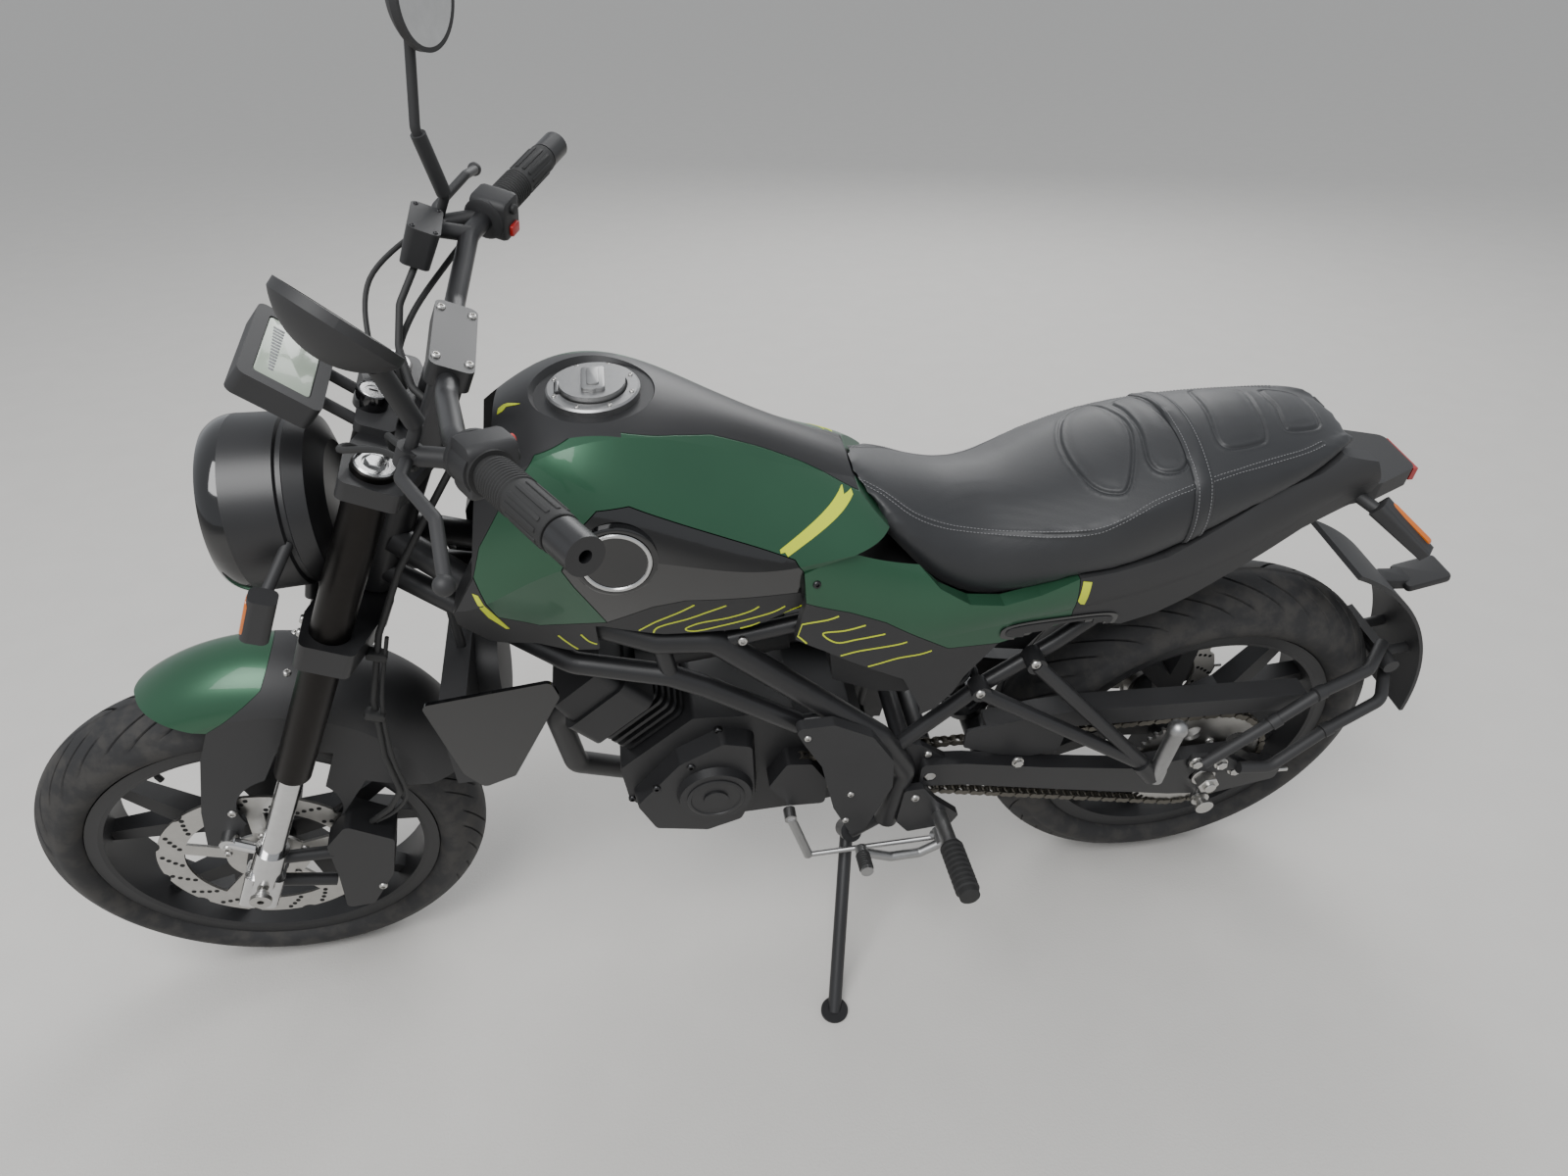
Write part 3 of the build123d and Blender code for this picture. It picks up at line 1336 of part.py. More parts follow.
with BuildPart() as front_disc:
    brake_disc(front_disc_y, 140, 24, 44)
    add(front_rim.part, mode=Mode.SUBTRACT)
front_disc.part.label = "front_disc"
write(front_disc.part, front_wheel_place)

with BuildPart() as rear_disc:
    brake_disc(rear_disc_y, 110, 24, 40)
    with BuildSketch(side(-hub_half_rear)):
        Circle(46)
        Circle(24, mode=Mode.SUBTRACT)
    extrude(amount=-rear_disc_y - disc_thickness / 2 - hub_half_rear)
rear_disc.part.label = "rear_disc"
write(rear_disc.part, rear_wheel_place)

# Rear sprocket on its carrier
root_radius = rear_pitch_radius - 4
tooth_tip = rear_pitch_radius + 3
with BuildPart() as rear_sprocket:
    with BuildSketch(side(chain_line + sprocket_thickness / 2)):
        Circle(root_radius)
        with PolarLocations(0, rear_teeth):
            Polygon((root_radius - 2, 3.4), (tooth_tip, 1.2), (tooth_tip, -1.2),
                    (root_radius - 2, -3.4), align=None)
        with PolarLocations(68, 5):
            Circle(15, mode=Mode.SUBTRACT)
        Circle(24, mode=Mode.SUBTRACT)
    extrude(amount=sprocket_thickness)
    with BuildSketch(side(chain_line - sprocket_thickness / 2)):
        Circle(50)
        Circle(24, mode=Mode.SUBTRACT)
    extrude(amount=chain_line - sprocket_thickness / 2 - hub_half_rear)
rear_sprocket.part.label = "rear_sprocket"
write(rear_sprocket.part, rear_wheel_place)
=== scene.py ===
# %% [markdown]
# A standard motorcycle, leaning on its side stand.
#
# The machine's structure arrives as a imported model: every rigid piece is already there at its real
# size, and it rides on the body that moves it. This file dresses that model. It gives each piece
# the finish of the real one, adds what is too small or too soft for a solid model, such as tread,
# stitches, screws and coloured lines, and sets the camera where the photograph was taken.

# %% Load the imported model
import json
import math

import bmesh
import bpy
import numpy as np
from mathutils import Matrix, Vector
from mathutils.bvhtree import BVHTree
from mathutils.geometry import delaunay_2d_cdt


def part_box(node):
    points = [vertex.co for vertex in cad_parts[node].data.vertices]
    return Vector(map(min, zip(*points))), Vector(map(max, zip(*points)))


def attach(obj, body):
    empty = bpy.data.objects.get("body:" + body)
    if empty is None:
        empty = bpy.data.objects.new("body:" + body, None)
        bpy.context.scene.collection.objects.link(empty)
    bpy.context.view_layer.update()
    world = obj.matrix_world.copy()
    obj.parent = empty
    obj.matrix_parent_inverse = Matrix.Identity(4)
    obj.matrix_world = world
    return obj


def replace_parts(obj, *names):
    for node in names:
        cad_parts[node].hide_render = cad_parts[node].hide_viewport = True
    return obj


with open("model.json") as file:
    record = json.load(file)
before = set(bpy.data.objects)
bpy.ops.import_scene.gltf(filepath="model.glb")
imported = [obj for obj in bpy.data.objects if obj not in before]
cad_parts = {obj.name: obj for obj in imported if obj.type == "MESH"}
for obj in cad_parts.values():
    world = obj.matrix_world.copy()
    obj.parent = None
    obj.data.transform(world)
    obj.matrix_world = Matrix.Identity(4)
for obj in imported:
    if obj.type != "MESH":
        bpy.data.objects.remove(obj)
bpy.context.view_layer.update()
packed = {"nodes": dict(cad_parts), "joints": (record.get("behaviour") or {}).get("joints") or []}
nodes = packed["nodes"]
joints = {joint["name"]: joint for joint in packed["joints"]}
MM = 0.001

# %% [markdown]
# Every place below is written as it would be measured on the real machine: in millimetres, on the
# upright motorcycle or along its steering axis. Two matrices carry such a place to where the
# parked machine stands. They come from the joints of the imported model, because the wheel axle
# gives the direction across and the steering axis gives the rake.

# %% The upright machine and its steering as two frames
RAKE = math.radians(25)
HALF_WHEELBASE = 685
REAR_TYRE_RADIUS = 307


def frame_matrix(ahead, left, up, origin):
    """A matrix from millimetres on three axes to the parked machine's metres."""
    columns = Matrix((ahead, left, up)).transposed().to_4x4()
    return Matrix.Translation(origin) @ columns @ Matrix.Scale(MM, 4)


fork_up = Vector(joints["steering"]["axis"])
across_machine = Vector(joints["rear_wheel_spin"]["axis"])
fork_ahead = across_machine.cross(fork_up)
ahead_machine = fork_ahead * math.cos(RAKE) - fork_up * math.sin(RAKE)
up_machine = fork_ahead * math.sin(RAKE) + fork_up * math.cos(RAKE)
rear_hub = Vector(joints["rear_wheel_spin"]["pos_m"])
machine_zero = (rear_hub + ahead_machine * HALF_WHEELBASE * MM
                - up_machine * REAR_TYRE_RADIUS * MM)
machine = frame_matrix(ahead_machine, across_machine, up_machine, machine_zero)
across_fork = Vector(joints["front_wheel_spin"]["axis"])
fork = frame_matrix(across_fork.cross(fork_up), across_fork, fork_up,
                    Vector(joints["steering"]["pos_m"]))
front_wheel = frame_matrix(across_fork.cross(fork_up), across_fork, fork_up,
                           Vector(joints["front_wheel_spin"]["pos_m"]))
rear_wheel = frame_matrix(ahead_machine, across_machine, up_machine, rear_hub)
print("the machine's zero is at", [round(v, 4) for v in machine_zero])

# %% [markdown]
# The camera stands where the photograph was taken, above the machine and on its left. A camera is
# described by where it is, how it is turned and how long its lens is. The picture is 1600 pixels
# wide, so a focal length in pixels becomes one in millimetres on a 36 mm sensor.

# %% The camera
CAMERA_PLACE = Vector((0.1385, 1.0506, 1.3633))
CAMERA_YAW, CAMERA_PITCH, CAMERA_ROLL = (math.radians(a) for a in (-98.2, -32.31, -0.93))
SENSOR_WIDTH = 36
PICTURE_WIDTH = 1600
FOCAL_PIXELS = 1048.6
NEAREST_SEEN = 0.01


def camera_matrix(place, yaw, pitch, roll):
    """Where a camera stands and how it is turned, from its yaw, pitch and roll."""
    look = Vector((math.cos(pitch) * math.cos(yaw), math.cos(pitch) * math.sin(yaw),
                   math.sin(pitch)))
    level = look.cross(Vector((0, 0, 1))).normalized()
    upright = level.cross(look)
    right = math.cos(roll) * level + math.sin(roll) * upright
    up = math.cos(roll) * upright - math.sin(roll) * level
    return Matrix.Translation(place) @ Matrix((right, up, -look)).transposed().to_4x4()


camera = bpy.data.objects.new("camera", bpy.data.cameras.new("camera"))
camera.matrix_world = camera_matrix(CAMERA_PLACE, CAMERA_YAW, CAMERA_PITCH, CAMERA_ROLL)
camera.data.sensor_width = SENSOR_WIDTH
camera.data.lens = FOCAL_PIXELS * SENSOR_WIDTH / PICTURE_WIDTH
camera.data.clip_start = NEAREST_SEEN
bpy.context.scene.collection.objects.link(camera)
bpy.context.scene.camera = camera
print("lens:", round(camera.data.lens, 2), "mm")

# %% [markdown]
# Nodes of a material are easier to read as sums. The first small class below wraps the output of a
# node, so that +, - and * on it add the Math nodes, also with a number on their left. The second
# holds one material, and its method called node adds every other kind of node.

# %% Shader maths as expressions
class Field:
    """One output of a node, with arithmetic."""

    def __init__(self, finish, socket):
        self.finish = finish
        self.socket = socket

    def math(self, operation, *others):
        return self.finish.node("Math", {"operation": operation}, self, *others)

    def __add__(self, other):
        return self.math("ADD", other)

    def __sub__(self, other):
        return self.math("SUBTRACT", other)

    def __rsub__(self, other):
        return self.finish.node("Math", {"operation": "SUBTRACT"}, other, self)

    def __mul__(self, other):
        return self.math("MULTIPLY", other)

    __radd__ = __add__
    __rmul__ = __mul__

    def above(self, edge, soft):
        """0 below edge, 1 above it, with a soft step between."""
        return self.finish.node("MapRange", {"interpolation_type": "SMOOTHSTEP"}, self,
                                edge - soft, edge + soft, 0.0, 1.0)


class Finish:
    """One material around a Principled shader."""

    def __init__(self, name, colour, roughness, metal=0.0, coat=0.0, sheen=0.0):
        self.material = bpy.data.materials.new(name)
        self.material.use_nodes = True
        self.tree = self.material.node_tree
        self.shader = self.tree.nodes["Principled BSDF"]
        self.set("Base Color", (*colour, 1.0))
        self.set("Roughness", roughness)
        self.set("Metallic", metal)
        self.set("Coat Weight", coat)
        self.set("Sheen Weight", sheen)

    def plug(self, socket, value):
        """A link where value is a Field, else a plain number or colour."""
        if isinstance(value, Field):
            self.tree.links.new(value.socket, socket)
        else:
            socket.default_value = value

    def set(self, name, value):
        self.plug(self.shader.inputs[name], value)

    def node(self, kind, settings=None, *values, out=0, **named):
        """Any node: its settings first, then its inputs by order or by name."""
        node = self.tree.nodes.new("ShaderNode" + kind)
        for key, value in (settings or {}).items():
            setattr(node, key, value)
        for socket, value in zip(node.inputs, values):
            self.plug(socket, value)
        for key, value in named.items():
            self.plug(node.inputs[key.replace("_", " ")], value)
        return Field(self, node.outputs[out])

    def place(self):
        """The place on the piece, in metres: the fourth output, Object."""
        return self.node("TexCoord", out=3)

    def noise(self, scale, detail=2.0, rough=0.5, vector=None):
        return self.node("TexNoise", {}, Vector=vector or self.place(), Scale=scale, Detail=detail,
                         Roughness=rough)

    def mix(self, share, first, second):
        """Two colours mixed by share."""
        node = self.tree.nodes.new("ShaderNodeMix")
        node.data_type = "RGBA"
        self.plug(node.inputs["Factor"], share)
        for name, value in (("A", first), ("B", second)):
            socket = [s for s in node.inputs if s.name == name and s.type == "RGBA"][0]
            self.plug(socket, value if isinstance(value, Field) else (*value, 1.0))
        return Field(self, [s for s in node.outputs if s.type == "RGBA"][0])

    def bump(self, height, distance, strength=1.0):
        self.set("Normal", self.node("Bump", {}, Strength=strength, Distance=distance,
                                     Height=height))


print("shader helpers ready")

# %% [markdown]
# The finishes. A satin paint is never one flat colour: fine flakes scatter its highlights, and
# handling leaves areas that are a little rougher. Moulded plastic has a fine grain of the same
# kind, only deeper. So one function makes them all, and each finish is a line with its colour, its
# roughness, and the size and height of its grain.

# %% Paint and moulded surfaces
PATCH_SCALE = 9.0


def grained(name, colour, roughness, grain_size, grain_height, metal=0.0, coat=0.0, wear=0.06,
            tone=0.25):
    """A surface with a fine grain, and patches that differ a little in gloss and in colour."""
    finish = Finish(name, colour, roughness, metal, coat)
    patches = finish.noise(PATCH_SCALE, 3.0)
    finish.set("Roughness", roughness + (patches - 0.5) * wear)
    lighter = [c * (1 + tone) for c in colour]
    darker = [c * (1 - tone) for c in colour]
    finish.set("Base Color", finish.mix(patches, darker, lighter))
    finish.bump(finish.noise(1 / grain_size, 2.0), grain_height)
    return finish


green_paint = grained("green_satin_paint", (0.026, 0.088, 0.047), 0.36, 0.0009, 0.00002,
                      metal=0.55, coat=0.25, tone=0.1)
tank_black = grained("black_satin_paint", (0.018, 0.018, 0.019), 0.40, 0.0009, 0.00002, metal=0.2)
frame_paint = grained("black_frame_paint", (0.014, 0.014, 0.015), 0.38, 0.0016, 0.00004)
engine_paint = grained("black_engine_paint", (0.013, 0.013, 0.014), 0.46, 0.0012, 0.00006)
moulded_black = grained("black_moulded_plastic", (0.019, 0.019, 0.020), 0.58, 0.0011, 0.00006)
gloss_black = grained("gloss_black", (0.004, 0.004, 0.0045), 0.10, 0.03, 0.00004, coat=0.6,
                      wear=0.04)
rubber = grained("rubber", (0.014, 0.014, 0.014), 0.66, 0.0013, 0.00008)
print("paints and plastics made")

# %% [markdown]
# The seat's vinyl has creased cells, so its bump adds a Voronoi pattern to a fine noise. Tyre
# rubber has a dusty bloom, a second colour where the noise is high. Bare metal is bright and
# smooth, and only its fine scratches break the gloss.


# %% Leather, tyre rubber and metals
def leather():
    """Vinyl with creased cells and a soft sheen."""
    finish = Finish("seat_leather", (0.016, 0.017, 0.018), 0.5, sheen=0.05)
    cells = finish.node("TexVoronoi", {"feature": "F1"}, Vector=finish.place(), Scale=520.0)
    folds = finish.noise(160.0, 4.0)
    patches = finish.noise(14.0, 3.0)
    finish.set("Base Color", finish.mix(patches, (0.011, 0.0115, 0.013), (0.019, 0.020, 0.022)))
    finish.set("Roughness", patches * 0.12 + 0.44)
    finish.bump(cells * 0.6 + folds * 0.4, 0.00014, 0.7)
    return finish


def tyre_rubber():
    """Rubber with a dusty bloom."""
    finish = Finish("tyre_rubber", (0.016, 0.016, 0.016), 0.72)
    dust = finish.noise(30.0, 5.0, 0.6)
    finish.set("Base Color", finish.mix(dust.above(0.52, 0.12), (0.013, 0.013, 0.014),
                                        (0.032, 0.030, 0.028)))
    finish.set("Roughness", dust * 0.2 + 0.62)
    finish.bump(finish.noise(900.0, 2.0), 0.00008)
    return finish


def metal(name, colour, roughness, scratch=0.1, scale=60.0):
    """Bare metal whose gloss is broken by fine scratches."""
    finish = Finish(name, colour, roughness, 1.0)
    marks = finish.noise(scale, 6.0, 0.7)
    finish.set("Roughness", marks * scratch + (roughness - scratch / 2))
    finish.set("Base Color", finish.mix(marks, [c * 0.8 for c in colour],
                                        [c * 1.1 for c in colour]))
    finish.bump(finish.noise(1400.0, 2.0), 0.00002)
    return finish


seat_leather = leather()
tyre_black = tyre_rubber()
steel = metal("steel", (0.50, 0.49, 0.47), 0.34)
hard_chrome = metal("hard_chrome", (0.66, 0.66, 0.66), 0.14, 0.06)
cast_alloy = metal("cast_alloy", (0.36, 0.36, 0.36), 0.42, 0.14, 140.0)
fork_black = metal("anodised_tube", (0.026, 0.024, 0.023), 0.36, 0.08)
chain_steel = metal("oiled_chain_steel", (0.16, 0.15, 0.13), 0.45, 0.2, 200.0)
mirror_silver = metal("mirror_silver", (0.85, 0.86, 0.87), 0.03, 0.01)
red_lens = grained("red_lens", (0.32, 0.006, 0.008), 0.12, 0.004, 0.0002, coat=0.5)
clear_lens = Finish("clear_lens", (0.92, 0.93, 0.94), 0.03)
clear_lens.set("Transmission Weight", 1.0)
clear_lens.set("IOR", 1.15)  # lower than glass, so that the thin solid lens bends little
print("leather, rubber and metals made")

# %% [markdown]
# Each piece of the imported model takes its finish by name. Only the material slot of the object is
# set: the solid itself stays as it came.

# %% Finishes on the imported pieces
FINISHES = {
    green_paint: ["tank_panels", "side_covers", "front_fender_cover"],
    tank_black: ["fuel_tank"],
    frame_paint: ["frame", "swingarm", "footrest_hangers", "stand_bracket", "side_stand",
                  "fork_clamps", "handlebar", "bar_weights", "headlight_shell",
                  "passenger_footrests"],
    engine_paint: ["engine_case", "engine_cylinder", "exhaust", "rear_caliper", "front_caliper",
                   "front_rim", "rear_rim"],
    moulded_black: ["radiator", "belly_covers", "lower_side_covers", "tail_cover", "airbox",
                    "pivot_covers", "chain_guard", "plate_carrier", "splash_guard",
                    "hand_controls", "mirrors", "instrument", "front_indicators", "front_fender",
                    "rear_indicators"],
    gloss_black: ["tank_inserts", "radiator_shrouds", "headlight_rim"],
    seat_leather: ["seat"],
    tyre_black: ["front_tyre", "rear_tyre"],
    rubber: ["grips", "brake_hoses"],
    steel: ["rear_axle", "front_axle", "front_disc", "rear_disc", "rear_sprocket",
            "shock_absorber"],
    hard_chrome: ["fork_inner_tubes"],
    cast_alloy: ["fuel_cap_ring", "fuel_cap_lid", "rider_footrests", "foot_levers"],
    fork_black: ["fork_outer_tubes"],
    chain_steel: ["chain"],
    mirror_silver: ["mirror_glasses"],
    red_lens: ["tail_lamp"],
    clear_lens: ["headlight_lens"],
}


def finish_object(thing, finish):
    """Give an object one material."""
    thing.data.materials.clear()
    thing.data.materials.append(finish.material)


for finish, names in FINISHES.items():
    for name in names:
        finish_object(nodes[name], finish)
print("finished nodes:", sum(len(names) for names in FINISHES.values()))

# %% [markdown]
# Most of what follows is drawn in mesh code. A Shape gathers points in millimetres in one
# of the frames above, and its methods add the forms that a workshop knows: something turned on a
# lathe, a bent pipe, a moulded box with soft corners. A turned form is a row of rings of equally
# many points, with faces between each ring and the next, and so are the other two.

# %% Shapes in millimetres
def across_pair(way):
    """Two directions square to way and to each other."""
    way = Vector(way).normalized()
    hint = Vector((0, 0, 1)) if abs(way.z) < 0.9 else Vector((1, 0, 0))
    first = way.cross(hint).normalized()
    return first, way.cross(first)


def smooth(points, steps=6, closed=False):
    """A flowing line through the points, with steps between each and the next."""
    rows = [Vector(p) for p in points]
    count = len(rows)
    line = []
    for i in range(count if closed else count - 1):
        if closed:
            a, b, c, d = (rows[(i + k) % count] for k in (-1, 0, 1, 2))
        else:
            a, b, c, d = (rows[min(max(i + k, 0), count - 1)] for k in (-1, 0, 1, 2))
        for k in range(steps):
            t = k / steps
            line.append(0.5 * (2 * b + (c - a) * t + (2 * a - 5 * b + 4 * c - d) * t ** 2
                               + (3 * b - a - 3 * c + d) * t ** 3))
    return line if closed else line + [rows[-1]]


class Shape:
    """Points and faces in millimetres of one frame."""

    def __init__(self, frame):
        self.frame = frame
        self.points = []
        self.faces = []

    def add(self, points, faces):
        first = len(self.points)
        self.points += [Vector(p) for p in points]
        self.faces += [[first + i for i in face] for face in faces]

    def rings(self, rings, loop=False):
        """A skin over rings of equally many points, closed at both ends or in a loop."""
        count = len(rings[0])
        faces = []
        for i in range(len(rings) if loop else len(rings) - 1):
            low = i * count
            high = (i + 1) % len(rings) * count
            faces += [[low + j, low + (j + 1) % count, high + (j + 1) % count, high + j]
                      for j in range(count)]
        if not loop:
            last = (len(rings) - 1) * count
            faces += [list(range(count))[::-1], list(range(last, last + count))]
        self.add([p for ring in rings for p in ring], faces)

    def turned(self, start, way, profile, sides=24):
        """A lathe form: rows of distance along way and radius."""
        way = Vector(way).normalized()
        first, second = across_pair(way)
        round_about = [first * math.cos(turn) + second * math.sin(turn)
                       for turn in (2 * math.pi * k / sides for k in range(sides))]
        self.rings([[Vector(start) + way * along + out * max(radius, 0.01) for out in round_about]
                    for along, radius in profile])

    def pipe(self, route, radius, sides=10):
        """A round pipe along points."""
        route = [Vector(p) for p in route]
        first = across_pair(route[1] - route[0])[0]
        rings = []
        for i, place in enumerate(route):
            way = (route[min(i + 1, len(route) - 1)] - route[max(i - 1, 0)]).normalized()
            first = (first - way * first.dot(way)).normalized()
            second = way.cross(first)
            rings.append([place + (first * math.cos(turn) + second * math.sin(turn)) * radius
                          for turn in (2 * math.pi * k / sides for k in range(sides))])
        self.rings(rings)

    def soft_box(self, middle, ahead, up, size, corner):
        """A box with rounded corners and softened rims. Its size runs ahead, across and up."""
        up = Vector(up).normalized()
        ahead = (Vector(ahead) - up * Vector(ahead).dot(up)).normalized()
        left = up.cross(ahead)
        length, width, height = size
        rim = min(corner, height / 2) * 0.6

        def ring(inset, level):
            radius = max(corner - inset, 0.2)
            spots = []
            for quarter, (a, b) in enumerate(((1, 1), (-1, 1), (-1, -1), (1, -1))):
                for k in range(5):
                    turn = math.radians(quarter * 90 + k * 22.5)
                    spots.append(Vector(middle) + up * level
                                 + ahead * (a * (length / 2 - corner) + radius * math.cos(turn))
                                 + left * (b * (width / 2 - corner) + radius * math.sin(turn)))
            return spots
        self.rings([ring(rim, -height / 2), ring(rim * 0.3, -height / 2 + rim * 0.3),
                    ring(0, -height / 2 + rim), ring(0, height / 2 - rim),
                    ring(rim * 0.3, height / 2 - rim * 0.3), ring(rim, height / 2)])

    def slab(self, outline, depth):
        """A flat plate: an outline of points, and the vector to its other face."""
        self.rings([[Vector(p) for p in outline], [Vector(p) + Vector(depth) for p in outline]])


def mesh_of(name, shape, crease=35):
    """A mesh in parked metres, with its normals outward and its edges sharp past crease degrees."""
    mesh = bpy.data.meshes.new(name)
    mesh.from_pydata([shape.frame @ p for p in shape.points], [], shape.faces)
    work = bmesh.new()
    work.from_mesh(mesh)
    bmesh.ops.remove_doubles(work, verts=work.verts, dist=1e-6)
    bmesh.ops.recalc_face_normals(work, faces=work.faces)
    work.to_mesh(mesh)
    work.free()
    mesh.shade_smooth()
    mesh.set_sharp_from_angle(angle=math.radians(crease))
    return mesh


def piece(name, body, shape, finish, crease=35):
    """A finished piece that rides on a body."""
    thing = bpy.data.objects.new(name, mesh_of(name, shape, crease))
    bpy.context.scene.collection.objects.link(thing)
    finish_object(thing, finish)
    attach(thing, body)
    print(name, "faces:", len(thing.data.polygons))
    return thing


print("shape helpers ready")

# %% [markdown]
# Lines, plates and screws have to lie on surfaces that curve. A ray is cast from outside onto the
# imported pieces: where it lands is the place, and the face there gives the normal. A search tree
# (BVH) over the faces makes each cast quick.

# %% Laying things on a surface
def surface(*objects):
    """A search tree over the faces of some objects."""
    points, faces = [], []
    for thing in objects:
        first = len(points)
        points += [v.co for v in thing.data.vertices]
        faces += [[first + i for i in p.vertices] for p in thing.data.polygons]
    return BVHTree.FromPolygons(points, faces)


def landing(tree, frame, start, way):
    """Where a ray lands and the normal there, both in the frame's millimetres, or None."""
    turn = frame.to_3x3()
    place, normal, _, _ = tree.ray_cast(frame @ Vector(start), (turn @ Vector(way)).normalized())
    if place is None:
        return None
    normal = (turn.inverted() @ normal).normalized()
    if normal.dot(Vector(way)) > 0:
        normal = -normal
    return frame.inverted() @ place, normal


def from_side(left):
    """Rays across the frame, each aimed by how far ahead and up it is."""
    return lambda a, b: (Vector((a, left * 500, b)), Vector((0, -left, 0)))


def from_above(a, b):
    """Rays straight down, each aimed by how far ahead and left it is."""
    return Vector((a, b, 1500)), Vector((0, 0, -1))


LINE_ROOT = 0.6
PATCH_ROOT = 0.8


def drawn_line(shape, tree, rays, points, width, lift=0.35, steps=6):
    """A narrow raised line on a surface, through points as the rays see them."""
    route = smooth([(a, b, 0) for a, b in points], steps)
    rings = []
    for i, spot in enumerate(route):
        run = (route[min(i + 1, len(route) - 1)] - route[max(i - 1, 0)]).normalized()
        aside = Vector((-run.y, run.x)) * width / 2
        left = landing(tree, shape.frame, *rays(spot.x + aside.x, spot.y + aside.y))
        right = landing(tree, shape.frame, *rays(spot.x - aside.x, spot.y - aside.y))
        if left and right:
            rings.append([left[0] - left[1] * LINE_ROOT, left[0] + left[1] * lift,
                          right[0] + right[1] * lift, right[0] - right[1] * LINE_ROOT])
    if len(rings) > 1:
        shape.rings(rings)


def patch(shape, tree, rays, outline, lift=0.35, grid=7):
    """A thin plate inside an outline, bent to the surface below it."""
    edge = []
    for (a, b), (c, d) in zip(outline, outline[1:] + outline[:1]):
        steps = max(1, round(math.hypot(c - a, d - b) / grid))
        edge += [Vector((a + (c - a) * k / steps, b + (d - b) * k / steps)) for k in range(steps)]
    lows = [min(p[k] for p in edge) for k in (0, 1)]
    highs = [max(p[k] for p in edge) for k in (0, 1)]
    spots = list(edge)
    for i in range(1, int((highs[0] - lows[0]) / grid) + 1):
        for j in range(1, int((highs[1] - lows[1]) / grid) + 1):
            spots.append(Vector((lows[0] + i * grid, lows[1] + j * grid)))
    flat, _, faces, _, _, _ = delaunay_2d_cdt(spots, [], [list(range(len(edge)))], 1, 1e-4)
    found = [landing(tree, shape.frame, *rays(p.x, p.y)) for p in flat]
    faces = [f for f in faces if all(found[i] for i in f)]
    count = len(flat)
    points = [h[0] + h[1] * lift if h else Vector() for h in found]
    points += [h[0] - h[1] * PATCH_ROOT if h else Vector() for h in found]
    borders = {}
    for face in faces:
        for i, a in enumerate(face):
            b = face[(i + 1) % len(face)]
            borders[(a, b)] = (b, a) not in borders
            if not borders[(a, b)]:
                borders[(b, a)] = False
    walls = [[b, a, a + count, b + count] for (a, b), edge_only in borders.items() if edge_only]
    shape.add(points, faces + [[i + count for i in f[::-1]] for f in faces] + walls)


print("surface helpers ready")

# %% [markdown]
# Screws, chain links, stitches and holes repeat by the hundred. Geometry Nodes are made for this:
# a cloud of points carries a turn and a size for each copy, and one tree puts a copy on each. The
# tree ends in Realize Instances and Set Material, and its result becomes a plain mesh.

# %% Copies on points
class Graph:
    """A geometry node tree with named inputs."""

    def __init__(self, name, **inputs):
        self.tree = bpy.data.node_groups.new(name, "GeometryNodeTree")
        sides = self.tree.interface
        sides.new_socket(name="Geometry", in_out="INPUT", socket_type="NodeSocketGeometry")
        for label, kind in inputs.items():
            sides.new_socket(name=label, in_out="INPUT", socket_type="NodeSocket" + kind)
        sides.new_socket(name="Geometry", in_out="OUTPUT", socket_type="NodeSocketGeometry")
        self.start = self.node("NodeGroupInput")
        self.end = self.node("NodeGroupOutput")

    def node(self, kind, **settings):
        made = self.tree.nodes.new(kind)
        for key, value in settings.items():
            setattr(made, key, value)
        return made

    def link(self, source, output, target, entry):
        self.tree.links.new(source.outputs[output], target.inputs[entry])

    def close(self, last, output):
        """Copies become real, take the finish and leave the tree."""
        real = self.node("GeometryNodeRealizeInstances")
        dressed = self.node("GeometryNodeSetMaterial")
        self.link(last, output, real, "Geometry")
        self.link(real, "Geometry", dressed, "Geometry")
        self.link(self.start, "Finish", dressed, "Material")
        self.link(dressed, "Geometry", self.end, "Geometry")

    def grow(self, carrier, values):
        """Run the tree on a carrier object and keep the result as its plain mesh."""
        names = {item.name: item.identifier for item in self.tree.interface.items_tree
                 if item.item_type == "SOCKET" and item.in_out == "INPUT"}
        modifier = carrier.modifiers.new("growth", "NODES")
        modifier.node_group = self.tree
        for label, value in values.items():
            modifier[names[label]] = value
        seen = carrier.evaluated_get(bpy.context.evaluated_depsgraph_get())
        grown = bpy.data.meshes.new_from_object(seen)
        carrier.modifiers.clear()
        carrier.data = grown


copies = Graph("copies_on_points", Copy="Object", Finish="Material")
copy_source = copies.node("GeometryNodeObjectInfo")
copy_turn = copies.node("GeometryNodeInputNamedAttribute", data_type="QUATERNION")
copy_turn.inputs["Name"].default_value = "turn"
copy_size = copies.node("GeometryNodeInputNamedAttribute", data_type="FLOAT_VECTOR")
copy_size.inputs["Name"].default_value = "size"
copy_place = copies.node("GeometryNodeInstanceOnPoints")
copies.link(copies.start, "Copy", copy_source, "Object")
copies.link(copies.start, "Geometry", copy_place, "Points")
copies.link(copy_source, "Geometry", copy_place, "Instance")
copies.link(copy_turn, "Attribute", copy_place, "Rotation")
copies.link(copy_size, "Attribute", copy_place, "Scale")
copies.close(copy_place, "Instances")
PLAIN = Matrix.Identity(4)
print("nodes in the copying tree:", len(copies.tree.nodes))


